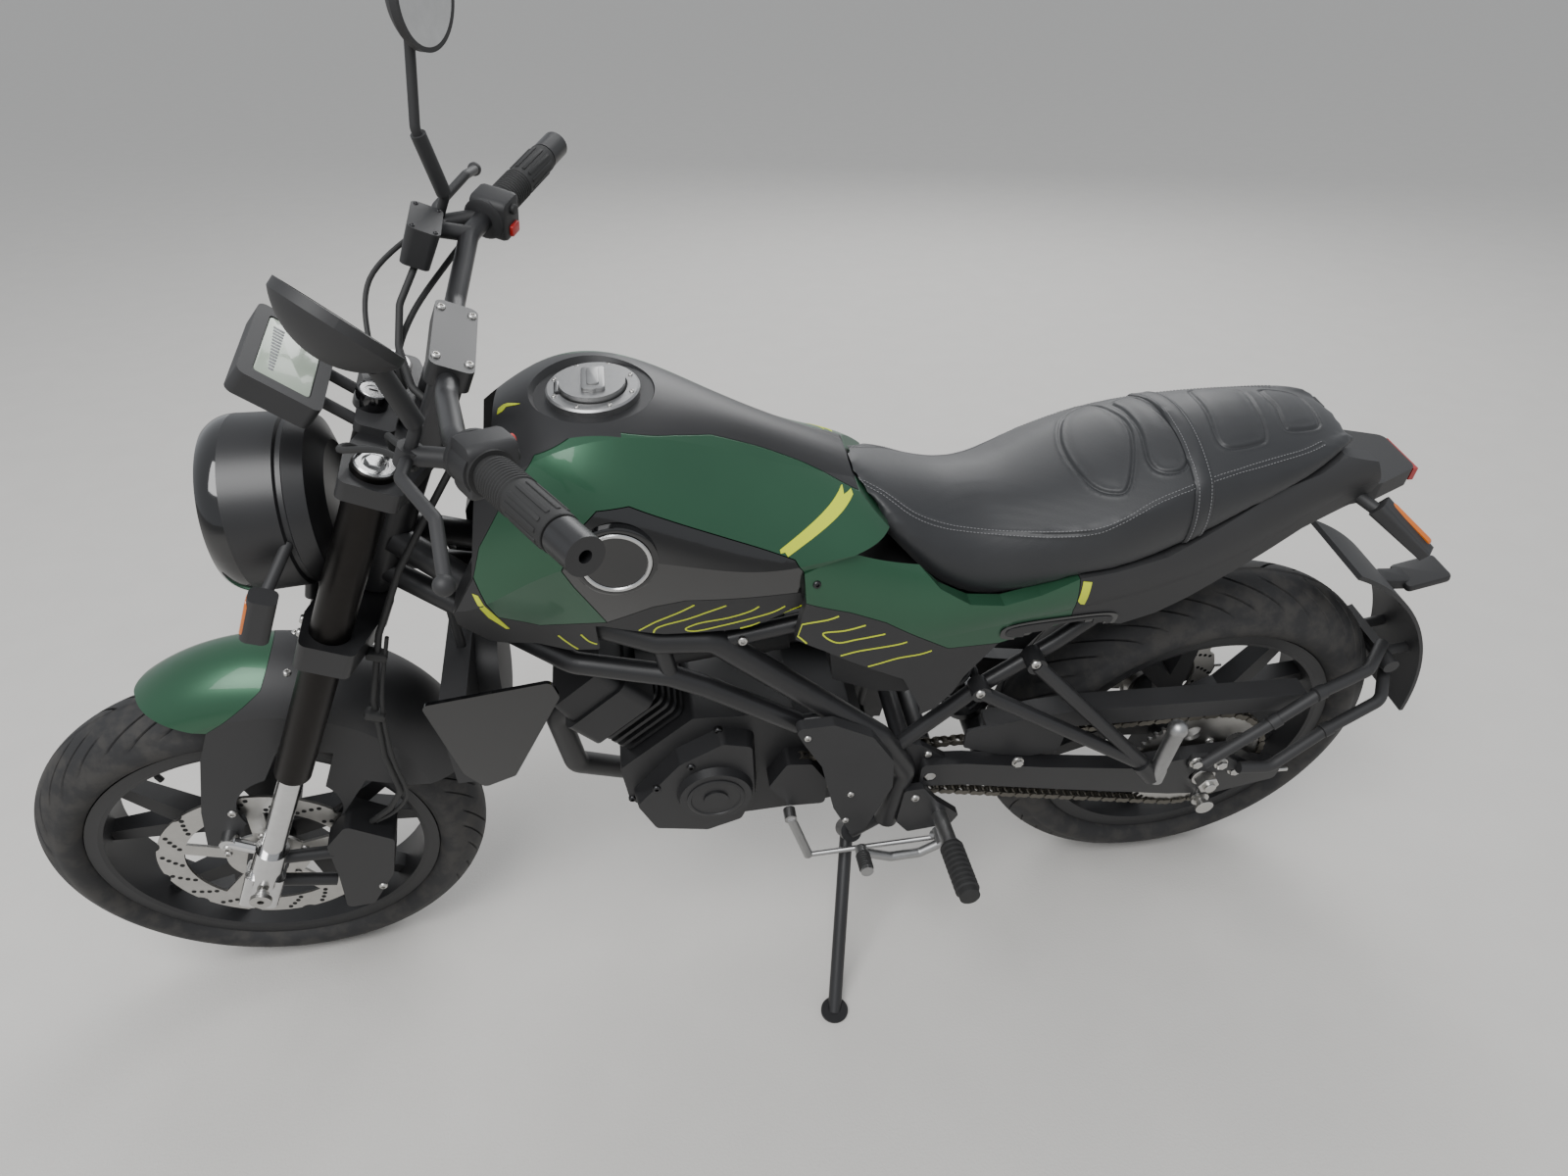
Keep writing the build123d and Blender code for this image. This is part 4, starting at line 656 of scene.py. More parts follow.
def repeat(name, body, frame, rows, copy_shape, finish):
    """One piece of copies: rows of place, up, ahead and size, in millimetres of a frame."""
    source = bpy.data.objects.new(name + "_copy", mesh_of(name + "_copy", copy_shape, 40))
    points = bpy.data.meshes.new(name)
    points.from_pydata([frame @ Vector(row[0]) for row in rows], [], [])
    turns, sizes = [], []
    spin = frame.to_3x3()
    for _, up, ahead, size in rows:
        up = (spin @ Vector(up)).normalized()
        ahead = spin @ Vector(ahead)
        ahead = (ahead - up * ahead.dot(up)).normalized()
        turn = Matrix((ahead, up.cross(ahead), up)).transposed().to_quaternion()
        turns += [turn.w, turn.x, turn.y, turn.z]
        sizes += [size * MM] * 3
    points.attributes.new("turn", "QUATERNION", "POINT").data.foreach_set("value", turns)
    points.attributes.new("size", "FLOAT_VECTOR", "POINT").data.foreach_set("vector", sizes)
    thing = bpy.data.objects.new(name, points)
    bpy.context.scene.collection.objects.link(thing)
    copies.grow(thing, {"Copy": source, "Finish": finish.material})
    bpy.data.objects.remove(source)
    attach(thing, body)
    print(name, "copies:", len(rows), "faces:", len(thing.data.polygons))
    return thing


# %% [markdown]
# Three heads for the copies, each one millimetre in radius, so that the size of a row is its
# radius: a button head with a hexagon socket, a hexagon bolt with its washer, and a thin disc of
# painted shade that stands in for a drilled hole. Their rings all have twelve points, so any can
# follow any other.

# %% Heads of screws, bolts and holes
HEAD_STEP = math.radians(30)
HEAD_POINTS = 12


def circle(radius, level):
    """A ring of points about the z axis."""
    return [Vector((radius * math.cos(HEAD_STEP * k), radius * math.sin(HEAD_STEP * k), level))
            for k in range(HEAD_POINTS)]


def hexagon(radius, level):
    """The same ring with every second point drawn in to the middle of a side."""
    drawn_in = circle(radius * math.cos(HEAD_STEP), level)
    return [drawn_in[k] if k % 2 else corner for k, corner in enumerate(circle(radius, level))]


socket_head = Shape(PLAIN)
socket_head.rings([circle(1, -0.4), circle(1, 0.12), circle(0.86, 0.42), circle(0.62, 0.55),
                   hexagon(0.5, 0.55), hexagon(0.46, 0.15)])
hex_head = Shape(PLAIN)
hex_head.rings([circle(1.3, -0.3), circle(1.3, 0.1), circle(1.25, 0.18), hexagon(1, 0.18),
                hexagon(1, 0.72), hexagon(0.88, 0.82), circle(0.5, 0.84)])
# A thin disc that takes the painted shade, standing in for the shade inside a drilled hole.
hole_shade_disc = Shape(PLAIN)
hole_shade_disc.rings([circle(1, -0.1), circle(1, 0.1)])
print("heads ready")

# %% [markdown]
# The extra finishes that only small pieces use: a rough near-black one that is painted shade in
# holes and gaps, the lime lacquer of the stripes, amber and white lenses, zinc and blackened steel
# for screws, bright metal in the lamp, coloured plastic for the buttons, a grey unlit screen, and
# thread.

# %% Finishes of small pieces
# Painted shade: a flat near-black that stands in for the shade inside holes, slots and pipe ends.
painted_shade = Finish("painted_shade", (0.003, 0.003, 0.003), 0.8)
lime_paint = grained("lime_stripe", (0.56, 0.64, 0.015), 0.42, 0.002, 0.00001, wear=0.05,
                     tone=0.04)
amber_lens = grained("amber_lens", (0.55, 0.13, 0.008), 0.16, 0.003, 0.0003, coat=0.5, tone=0.1)
white_lens = grained("white_lens", (0.72, 0.74, 0.76), 0.2, 0.003, 0.0003, coat=0.4, tone=0.05)
zinc = metal("zinc_screws", (0.56, 0.55, 0.53), 0.32, 0.1, 300.0)
dark_steel = metal("blackened_steel", (0.06, 0.06, 0.062), 0.38, 0.1, 200.0)
polished = metal("polished_reflector", (0.80, 0.80, 0.80), 0.12, 0.05)
red_plastic = grained("red_switch", (0.45, 0.012, 0.01), 0.4, 0.002, 0.00002, tone=0.06)
grey_plastic = grained("grey_switch", (0.16, 0.165, 0.175), 0.4, 0.002, 0.00002, tone=0.08)
screen_grey = grained("unlit_screen", (0.36, 0.42, 0.34), 0.2, 0.05, 0.00001, coat=0.5, wear=0.02,
                      tone=0.04)
seat_thread = grained("seat_thread", (0.16, 0.16, 0.165), 0.7, 0.0006, 0.0001, tone=0.12)
silver_ring = metal("satin_silver", (0.55, 0.55, 0.55), 0.26, 0.06, 240.0)
print("small finishes made")

# %% [markdown]
# A tyre is a section turned about the axle, but its tread needs grooves. The grid of the turned
# mesh is sheared, so that its columns already run along the slanted grooves, and the columns stand
# close together at each groove's edges. A groove is then only a run of points pushed inwards.

# %% Tyres with their tread
TREAD_PITCHES = 13
TREAD_SLANT = 0.40
GROOVE_WIDTH = 5.0
GROOVE_LIP = 1.2
RIM_SEAT, RIM_FLANGE = 218.8, 227.8
WALL_POINTS, TREAD_POINTS = 14, 44
# Each groove: its share of the pitch, where it starts and stops across the tread, and its depth
GROOVES = ((0.10, 0.10, 0.86, 5.0), (0.43, 0.26, 0.97, 4.6), (0.74, 0.50, 0.93, 3.8))


def arc(first, middle, last, count):
    """Points on the circle through three points, without the last."""
    (ax, ay), (bx, by), (cx, cy) = first, middle, last
    d = 2 * (ax * (by - cy) + bx * (cy - ay) + cx * (ay - by))
    ux = ((ax ** 2 + ay ** 2) * (by - cy) + (bx ** 2 + by ** 2) * (cy - ay)
          + (cx ** 2 + cy ** 2) * (ay - by)) / d
    uy = ((ax ** 2 + ay ** 2) * (cx - bx) + (bx ** 2 + by ** 2) * (ax - cx)
          + (cx ** 2 + cy ** 2) * (bx - ax)) / d
    radius = math.hypot(ax - ux, ay - uy)
    start = math.atan2(ay - uy, ax - ux)
    via = (math.atan2(by - uy, bx - ux) - start) % (2 * math.pi)
    sweep = (math.atan2(cy - uy, cx - ux) - start) % (2 * math.pi)
    if via > sweep:
        sweep -= 2 * math.pi
    return [(ux + radius * math.cos(start + sweep * k / count),
             uy + radius * math.sin(start + sweep * k / count)) for k in range(count)]


def tread_columns(radius):
    """The angles of the mesh columns, and for each the groove whose floor it is on, or None."""
    pitch = 2 * math.pi / TREAD_PITCHES
    half = GROOVE_WIDTH / 2 / radius
    lip = GROOVE_LIP / radius
    columns = []
    for k in range(TREAD_PITCHES):
        last = k * pitch
        for number, (share, _, _, _) in enumerate(GROOVES):
            middle = (k + share) * pitch
            land = middle - half - lip - last
            columns += [(last + land * t / 3, None) for t in range(3)]
            columns += [(middle - half - lip, None), (middle - half, number),
                        (middle + half, number)]
            last = middle + half + lip
        columns += [(last, None), (last + ((k + 1) * pitch - last) / 2, None)]
    return columns


def tyre(name, body, node, frame, radius, bead, half, crown, drop, forward):
    """A tyre on its solid's own section. Forward is the way its tread points, 1 or -1."""
    shoulder = radius - drop
    side_wall = [(RIM_SEAT, bead)] + arc((RIM_FLANGE, bead), (RIM_FLANGE + 18, half),
                                         (shoulder, crown), WALL_POINTS)
    tread = arc((shoulder, crown), (radius, 0), (shoulder, -crown), TREAD_POINTS)
    section = side_wall + tread + [(shoulder, -crown)] + [(r, -y) for r, y in side_wall[:0:-1]]
    section += [(RIM_SEAT, -bead)]
    shape = Shape(frame)
    rings = []
    for angle, groove in tread_columns(radius):
        ring = []
        for r, y in section:
            on_tread = r > shoulder - 0.01
            reach = abs(y) / crown if on_tread else 1.0
            if groove is not None and reach < 1 and on_tread:
                _, start, stop, depth = GROOVES[groove]
                if start < reach < stop:
                    r -= depth * min(1, 6 * (reach - start) + 0.3, 8 * (stop - reach) + 0.3)
            turn = angle + TREAD_SLANT * forward * min(reach, 1) ** 1.35
            if y < 0:
                turn += math.pi / TREAD_PITCHES * min(1, reach / GROOVES[0][1])
            ring.append((r * math.cos(turn), y, r * math.sin(turn)))
        rings.append(ring)
    shape.rings(rings, loop=True)
    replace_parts(piece(name, body, shape, tyre_black, 38), node)


tyre("front_tyre_treaded", "front_wheel", "front_tyre", front_wheel, 293, 38, 55, 50, 31, -1)
tyre("rear_tyre_treaded", "rear_wheel", "rear_tyre", rear_wheel, 307, 46, 66, 59, 40, 1)

# %% [markdown]
# A roller chain has two kinds of link in turn: an inner one with two rollers between its plates,
# and an outer one with two pins through them. The chain's line is a belt round both sprockets, and
# each link spans one pitch of it.

# %% Chain
OUTPUT = Vector((-74, 0, 392))
AXLE = Vector((-685, 0, 307))
CHAIN_LINE = 88
PITCH = 12.7
SPROCKET_TEETH = (14, 52)
WRAP_STEPS = 120


def chain_line_points():
    """Pins along the belt, an even number of them."""
    small, large = (PITCH / (2 * math.sin(math.pi / teeth)) for teeth in SPROCKET_TEETH)
    span = AXLE - OUTPUT
    heading = math.atan2(span.z, span.x)
    wrap = math.pi / 2 + math.asin((large - small) / span.length)
    dense = []
    for centre, radius, start, sweep in ((AXLE, large, heading - wrap, 2 * wrap),
                                         (OUTPUT, small, heading + wrap, 2 * math.pi - 2 * wrap)):
        for k in range(WRAP_STEPS + 1):
            turn = start + sweep * k / WRAP_STEPS
            dense.append(centre + Vector((math.cos(turn), 0, math.sin(turn))) * radius)
    dense.append(dense[0])
    lengths = [0]
    for a, b in zip(dense, dense[1:]):
        lengths.append(lengths[-1] + (b - a).length)
    count = 2 * round(lengths[-1] / PITCH / 2)
    pins, at = [], 0
    for k in range(count):
        want = lengths[-1] * k / count
        while lengths[at + 1] < want:
            at += 1
        share = (want - lengths[at]) / (lengths[at + 1] - lengths[at])
        pins.append(dense[at].lerp(dense[at + 1], share))
    return pins


def link_plate(shape, y, thickness):
    """A waisted plate over two pins, across from y."""
    outline = []
    for end in (1, -1):
        for k in range(-2, 3):
            turn = math.radians(45 * k) + (0 if end > 0 else math.pi)
            outline.append((end * PITCH / 2 + 5.2 * math.cos(turn), y, 5.2 * math.sin(turn)))
        outline.append((0, y, end * 3.7))
    shape.slab(outline, (0, thickness, 0))


inner_link = Shape(PLAIN)
outer_link = Shape(PLAIN)
for side in (1, -1):
    link_plate(inner_link, side * 3.2, side * 1.5)
    link_plate(outer_link, side * 4.9, side * 1.5)
    inner_link.turned((side * PITCH / 2, -3.2, 0), (0, 1, 0), [(0, 4.1), (6.4, 4.1)], 10)
    outer_link.turned((side * PITCH / 2, -6.5, 0), (0, 1, 0), [(0, 1.2), (0.6, 1.9), (12.4, 1.9),
                                                               (13, 1.2)], 8)
pins = chain_line_points()
link_rows = []
for k, pin in enumerate(pins):
    after = pins[(k + 1) % len(pins)]
    run = after - pin
    middle = (pin + after) / 2 + Vector((0, CHAIN_LINE, 0))
    link_rows.append((middle, run.cross(Vector((0, 1, 0))), run, 1.0))
inner_links = repeat("chain_inner_links", "chassis", machine, link_rows[0::2], inner_link,
                     chain_steel)
repeat("chain_outer_links", "chassis", machine, link_rows[1::2], outer_link, chain_steel)
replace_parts(inner_links, "chain")
print("chain links:", len(pins))

# %% [markdown]
# The rear shock is a damper inside a spring. The spring is a pipe along a helix, between two
# collars, and the damper's body and rod are one turned form.

# %% Shock absorber
SHOCK_TOP = Vector((-201, 0, 694))
SHOCK_FOOT = Vector((-345, 0, 380))
shock_run = SHOCK_FOOT - SHOCK_TOP
shock = Shape(machine)
shock.turned(SHOCK_TOP, shock_run, [(16, 9), (24, 9), (24, 22), (58, 22), (58, 36), (70, 36),
                                    (72, 26), (150, 26), (154, 9), (300, 9), (306, 14), (314, 36),
                                    (326, 36), (328, 14), (329, 9)], 28)
shock_body = piece("shock_damper", "chassis", shock, dark_steel)
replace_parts(shock_body, "shock_absorber")
SPRING_TURNS = 7.5
SPRING_START, SPRING_LENGTH = 75, 234
SPRING_RADIUS, WIRE_RADIUS = 29.5, 5.2
SPRING_STEPS = 180
aside, upward = across_pair(shock_run)
helix = []
for k in range(SPRING_STEPS + 1):
    share = k / SPRING_STEPS
    turn = 2 * math.pi * SPRING_TURNS * share
    helix.append(SHOCK_TOP + shock_run.normalized() * (SPRING_START + SPRING_LENGTH * share)
                 + (aside * math.cos(turn) + upward * math.sin(turn)) * SPRING_RADIUS)
coil = Shape(machine)
coil.pipe(helix, WIRE_RADIUS)
piece("shock_spring", "chassis", coil, frame_paint)

# %% [markdown]
# The seat is foam under sewn vinyl. A block that is only cut to shape looks hard, so its copy is
# remeshed into small even faces and blown up a little by the Cloth simulation, which rounds the
# corners as foam does. How far a point may move is capped, and the underside stays put. The pressed
# panels and the seam come after that, on a mesh made finer where they run.

# %% The seat's lines, as they are sewn
SEAT_PANELS = [
    [(-464, -95), (-472, -52), (-475, 5), (-450, 76), (-430, 81), (-409, 61), (-399, 17),
     (-404, -31), (-427, -77)],
    [(-486, -76), (-512, -82), (-515, -46), (-522, 45), (-515, 75), (-490, 75), (-478, 56),
     (-484, 10), (-485, -41)],
    [(-577, -58), (-603, -64), (-636, -46), (-631, 2), (-622, 50), (-608, 60), (-573, 62),
     (-562, 47), (-568, 3)],
    [(-662, -42), (-691, -42), (-707, -24), (-703, 24), (-692, 40), (-656, 44), (-652, 33),
     (-658, 3)]]
SEAT_SEAM = [(-134, 35, 859), (-161, 48, 845), (-193, 66, 823), (-229, 72, 806),
             (-276, 79, 798), (-320, 91, 798), (-362, 105, 803), (-403, 116, 812), (-435, 116, 826),
             (-470, 108, 842), (-512, 102, 854), (-555, 95, 862), (-608, 84, 866),
             (-660, 75, 872), (-690, 64, 873)]
panel_lines = [smooth([(x, y, 0) for x, y in panel], 5, True) for panel in SEAT_PANELS]
seam_lines = [smooth([(x, side * y, z) for x, y, z in SEAT_SEAM], 5) for side in (1, -1)]
print("seat panels:", len(panel_lines), "seams:", len(seam_lines))

# %% [markdown]
# The foam is made in two steps. The blank is the solid's own mesh in faces of 6 mm, drawn in by
# about 2 mm. Cloth pressure then pushes it out again, most in the middle of its broad faces and
# least at its corners. Cloth can also pinch where a surface dips. So only the outward part of each
# move is kept, and evened out with the neighbours' moves.

# %% The cushion, remeshed and blown up
FOAM_FACE = 0.006
FOAM_INSET = 0.0022
FOAM_CAP = 0.007
FOAM_FRAMES = 20
FOAM_PRESSURE = 4.0
EVENING_ROUNDS = 40


def seat_blank():
    """A copy of the seat's solid, slightly smaller, in even faces."""
    work = bmesh.new()
    work.from_mesh(nodes["seat"].data)
    bmesh.ops.remove_doubles(work, verts=work.verts, dist=1e-5)
    mesh = bpy.data.meshes.new("seat_blank")
    work.to_mesh(mesh)
    work.free()
    blank = bpy.data.objects.new("seat_cushion", mesh)
    bpy.context.scene.collection.objects.link(blank)
    remesh = blank.modifiers.new("even_faces", "REMESH")
    remesh.mode = "VOXEL"
    remesh.voxel_size = FOAM_FACE
    seen = blank.evaluated_get(bpy.context.evaluated_depsgraph_get())
    even = bpy.data.meshes.new_from_object(seen)
    blank.modifiers.clear()
    blank.data = even
    normals = np.empty(len(even.vertices) * 3)
    even.vertices.foreach_get("normal", normals)
    spots = np.empty(len(even.vertices) * 3)
    even.vertices.foreach_get("co", spots)
    even.vertices.foreach_set("co", spots - normals * FOAM_INSET)
    even.update()
    return blank


def blow_up(cushion):
    """Cloth pressure for a few frames, with the underside pinned and the swelling capped."""
    mesh = cushion.data
    rest = np.array([v.co for v in mesh.vertices])
    facing = np.array([v.normal.z for v in mesh.vertices])
    pinned = cushion.vertex_groups.new(name="pinned")
    pinned.add([int(i) for i in np.where(facing < -0.2)[0]], 1.0, "REPLACE")
    cloth = cushion.modifiers.new("foam", "CLOTH")
    cloth.settings.quality = 6
    cloth.settings.vertex_group_mass = "pinned"
    cloth.settings.use_pressure = True
    cloth.settings.uniform_pressure_force = FOAM_PRESSURE
    cloth.settings.effector_weights.gravity = 0.0
    cloth.point_cache.frame_start = 1
    cloth.point_cache.frame_end = FOAM_FRAMES
    for step in range(1, FOAM_FRAMES + 1):
        bpy.context.scene.frame_set(step)
    seen = cushion.evaluated_get(bpy.context.evaluated_depsgraph_get())
    swollen = np.array([v.co for v in seen.data.vertices])
    cushion.modifiers.clear()
    bpy.context.scene.frame_set(1)
    normals = np.array([v.normal for v in mesh.vertices])
    swell = np.clip(((swollen - rest) * normals).sum(axis=1), 0, FOAM_CAP)
    swell *= np.clip(facing * 1.6 + 0.5, 0, 1)
    ends = np.array([edge.vertices[:] for edge in mesh.edges])
    neighbours = np.bincount(ends.ravel(), minlength=len(rest))
    for _ in range(EVENING_ROUNDS):
        around = (np.bincount(ends[:, 0], swell[ends[:, 1]], len(rest))
                  + np.bincount(ends[:, 1], swell[ends[:, 0]], len(rest)))
        swell = (swell + around / np.maximum(neighbours, 1)) / 2
    mesh.vertices.foreach_set("co", (rest + normals * swell[:, None]).ravel())
    mesh.update()
    print("foam moved", round(float(swell.max()) * 1000, 1), "mm at most")


cushion = seat_blank()
blow_up(cushion)
print("cushion faces:", len(cushion.data.polygons))

# %% [markdown]
# A seam pulls the cover down into a narrow groove with a soft roll beside it. Both come from one
# curve of height against the distance to the line: a negative bell at the line, and a positive one
# a few millimetres off. A panel has the same groove at its edge, and rises a little inside.

# %% Seam and panels pressed into the cushion
NEAR_LINE = 6.5
NOWHERE_NEAR = 1e9


def bell(distance, middle, width):
    """1 where the distance is middle, and falling to nothing about two widths away."""
    return np.exp(-((distance - middle) / width) ** 2)


def nearest(spots, line, closed):
    """For each spot, how far the line is."""
    line = np.array([tuple(p) for p in line])
    ends = np.roll(line, -1, 0) if closed else line[1:]
    starts = line if closed else line[:-1]
    best = np.full(len(spots), NOWHERE_NEAR)
    for a, b in zip(starts, ends):
        run = b - a
        t = np.clip(((spots - a) @ run) / max(run @ run, 1e-9), 0, 1)
        best = np.minimum(best, np.linalg.norm(spots - a - t[:, None] * run, axis=1))
    return best


def inside(spots, line):
    """Which spots are within a closed flat line."""
    line = np.array([tuple(p) for p in line])[:, :2]
    result = np.zeros(len(spots), bool)
    for (ax, ay), (bx, by) in zip(line, np.roll(line, -1, 0)):
        crosses = (ay > spots[:, 1]) != (by > spots[:, 1])
        at = (bx - ax) * (spots[:, 1] - ay) / (by - ay + 1e-12) + ax
        result ^= crosses & (spots[:, 0] < at)
    return result


def in_machine(mesh):
    """The mesh's points in millimetres of the upright machine."""
    back = np.array(machine.inverted())
    spots = np.array([v.co for v in mesh.vertices])
    return spots @ back[:3, :3].T + back[:3, 3]


def seat_distances(spots, facing):
    """How far each spot is from the nearest seam, and from the nearest panel's edge."""
    seams = np.minimum(*[nearest(spots, line, False) for line in seam_lines])
    flat = spots * np.array((1, 1, 0))
    edges = np.min([nearest(flat, line, True) for line in panel_lines], axis=0)
    return seams, np.where(facing > 0.2, edges, NOWHERE_NEAR)


def press_seat(thing):
    """Finer faces along the lines, then grooves and rims."""
    level = thing.modifiers.new("soft", "SUBSURF")
    level.levels = level.render_levels = 1
    seen = thing.evaluated_get(bpy.context.evaluated_depsgraph_get())
    thing.data = bpy.data.meshes.new_from_object(seen)
    thing.modifiers.clear()
    mesh = thing.data
    facing = np.array([v.normal.z for v in mesh.vertices])
    seams, edges = seat_distances(in_machine(mesh), facing)
    near = np.minimum(seams, edges) < NEAR_LINE
    work = bmesh.new()
    work.from_mesh(mesh)
    work.verts.ensure_lookup_table()
    cuts = [e for e in work.edges if near[e.verts[0].index] and near[e.verts[1].index]]
    bmesh.ops.subdivide_edges(work, edges=cuts, cuts=1, use_grid_fill=True, smooth=0.6)
    bmesh.ops.triangulate(work, faces=[f for f in work.faces if len(f.verts) > 4])
    work.to_mesh(mesh)
    work.free()
    mesh.update()
    facing = np.array([v.normal.z for v in mesh.vertices])
    spots = in_machine(mesh)
    seams, edges = seat_distances(spots, facing)
    within = np.any([inside(spots, line) for line in panel_lines], axis=0)
    height = 0.6 * bell(edges, 4.0, 1.6) - 1.5 * bell(edges, 0, 1.7)
    height += np.where(within & (edges < NOWHERE_NEAR), 1.6 * np.clip(edges / 16, 0, 1) ** 0.6, 0)
    height += 0.5 * bell(seams, 3.4, 1.6) - 1.0 * bell(seams, 0, 1.5)
    normals = np.array([v.normal for v in mesh.vertices])
    places = np.array([v.co for v in mesh.vertices]) + normals * height[:, None] * MM
    mesh.vertices.foreach_set("co", places.ravel())
    mesh.update()
    mesh.shade_smooth()


press_seat(cushion)
finish_object(cushion, seat_leather)
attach(cushion, "chassis")
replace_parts(cushion, "seat")
print("seat faces:", len(cushion.data.polygons))

# %% [markdown]
# The strap crosses the seat where its two halves meet. It is laid by rays from all round towards
# the middle of the seat, and it ends at the cushion's lower edge on each side.

# %% Seat strap
seat_skin = surface(cushion)
STRAP_X = -531
STRAP_WIDTH = 24
STRAP_LIFT = 3.0
STRAP_HEART = (0, 812)
STRAP_START, STRAP_SWEEP, STRAP_STEPS = -22, 224, 120


def inward(place):
    """The direction from a place on the strap towards the seat's middle."""
    return Vector((0, STRAP_HEART[0] - place.y, STRAP_HEART[1] - place.z)).normalized()


def strap_ring(turn):
    """Across the strap at one angle round the seat: its top, edge to edge, then its underside."""
    ring = []
    for share in (-0.5, -0.42, 0, 0.42, 0.5):
        way = Vector((0, -math.cos(turn), -math.sin(turn)))
        start = Vector((STRAP_X + share * STRAP_WIDTH, *STRAP_HEART)) - way * 400
        hit = landing(seat_skin, machine, start, way)
        if not hit:
            return None
        ring.append(hit[0] - way * STRAP_LIFT * (1.0 if abs(share) < 0.45 else 0.45))
    return ring + [ring[4] + inward(ring[4]) * 3, ring[0] + inward(ring[0]) * 3]


strap_rings = [strap_ring(math.radians(STRAP_START + STRAP_SWEEP * k / STRAP_STEPS))
               for k in range(STRAP_STEPS + 1)]
strap_rings = [ring for ring in strap_rings if ring]
strap = Shape(machine)
strap.rings(strap_rings)
piece("seat_strap", "chassis", strap, seat_leather, 50)

# %% [markdown]
# Thread is laid by a second tree: it turns a line into a curve, resamples it to one point a stitch,
# and puts a short capsule on each, turned along the curve. Two rows run beside the seam and one
# along each edge of the strap.

# %% Stitches
sewing = Graph("stitches_on_lines", Copy="Object", Finish="Material", Spacing="Float")
stitch_source = sewing.node("GeometryNodeObjectInfo")
stitch_curve = sewing.node("GeometryNodeMeshToCurve")
stitch_steps = sewing.node("GeometryNodeResampleCurve", mode="LENGTH")
stitch_run = sewing.node("GeometryNodeInputTangent")
stitch_turn = sewing.node("FunctionNodeAlignRotationToVector", axis="X")
stitch_place = sewing.node("GeometryNodeInstanceOnPoints")
sewing.link(sewing.start, "Copy", stitch_source, "Object")
sewing.link(sewing.start, "Geometry", stitch_curve, "Mesh")
sewing.link(stitch_curve, "Curve", stitch_steps, "Curve")
sewing.link(sewing.start, "Spacing", stitch_steps, "Length")
sewing.link(stitch_run, "Tangent", stitch_turn, "Vector")
sewing.link(stitch_steps, "Curve", stitch_place, "Points")
sewing.link(stitch_source, "Geometry", stitch_place, "Instance")
sewing.link(stitch_turn, "Rotation", stitch_place, "Rotation")
sewing.close(stitch_place, "Instances")
STITCH_SPACING = 4.2
STITCH_LENGTH = 2.9
THREAD_LIFT = 0.0003
THREAD_OFFSET = 3.2


def sewn(name, body, lines, finish):
    """Stitches along lines of parked places."""
    points, edges = [], []
    for line in lines:
        edges += [(len(points) + k, len(points) + k + 1) for k in range(len(line) - 1)]
        points += line
    mesh = bpy.data.meshes.new(name)
    mesh.from_pydata(points, edges, [])
    thing = bpy.data.objects.new(name, mesh)
    bpy.context.scene.collection.objects.link(thing)
    capsule = Shape(Matrix.Scale(MM, 4))
    capsule.turned((-STITCH_LENGTH / 2, 0, 0), (1, 0, 0),
                   [(0, 0.2), (0.4, 0.5), (STITCH_LENGTH - 0.4, 0.5), (STITCH_LENGTH, 0.2)], 6)
    source = bpy.data.objects.new(name + "_stitch", mesh_of(name + "_stitch", capsule, 60))
    sewing.grow(thing, {"Copy": source, "Finish": finish.material, "Spacing": STITCH_SPACING * MM})
    bpy.data.objects.remove(source)
    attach(thing, body)
    print(name, "faces:", len(thing.data.polygons))


def beside_seam(line, offset):
    """A line on the cushion's skin beside a seam."""
    rows = []
    for i, spot in enumerate(line):
        run = (line[min(i + 1, len(line) - 1)] - line[max(i - 1, 0)]).normalized()
        place, normal, _, _ = seat_skin.find_nearest(machine @ spot)
        normal = (machine.to_3x3().inverted() @ normal).normalized()
        aside = run.cross(normal).normalized() * offset
        place, normal, _, _ = seat_skin.find_nearest(machine @ (spot + aside))
        rows.append(place + normal * THREAD_LIFT)
    return rows


seam_threads = [beside_seam(line, side * THREAD_OFFSET) for line in seam_lines for side in (-1, 1)]
sewn("seat_stitches", "chassis", seam_threads, seat_thread)
strap_threads = [[machine @ (ring[edge].lerp(ring[2], 0.22) - inward(ring[2]) * 0.2)
                  for ring in strap_rings] for edge in (1, 3)]
sewn("strap_stitches", "chassis", strap_threads, seat_thread)

# %% [markdown]
# Screws hold every cover, and they catch the light as small bright dots. Their places are read on
# the upright machine. Those on the right are the left ones mirrored, where the machine has them.

# %% Screws on the chassis
# Columns: x, y, z, radius
ENGINE_SCREWS = [
    (43, 104, 483, 6), (-7, 104, 452, 6), (84, 104, 440, 6), (133, 104, 401, 6), (-18, 104, 365, 6),
    (169, 100, 350, 6), (-65, 104, 439, 6)]
COVER_SCREWS = [(-72, 128, 783, 5)]
SIDE_SCREWS = [(-14, 112, 704, 6.5), (11, 112, 682, 6.5)]
BOTH_SIDE_SCREWS = [
    (-298, 124, 556, 7), (-365, 124, 602, 7), (-225, 118, 495, 6), (-300, 116, 625, 6),
    (-67, 143, 526, 5), (-127, 143, 334, 5), (-131, 143, 394, 5), (-229, 136, 354, 6.5),
    (-181, 136, 284, 6.5), (-247, 130, 419, 6)]
CARRIER_BOLTS = [(-659, 122, 350, 8.5), (-701, 122, 340, 8.5), (-734, 122, 312, 8.5)]
CHASSIS_NAMES = ["frame", "engine_case", "engine_cylinder", "pivot_covers", "footrest_hangers",
                 "swingarm", "lower_side_covers", "side_covers", "tail_cover", "belly_covers",
                 "chain_guard", "plate_carrier", "radiator_shrouds", "passenger_footrests",
                 "fuel_tank", "tank_panels", "tank_inserts", "rear_caliper"]
chassis_skin = surface(*[nodes[name] for name in CHASSIS_NAMES])


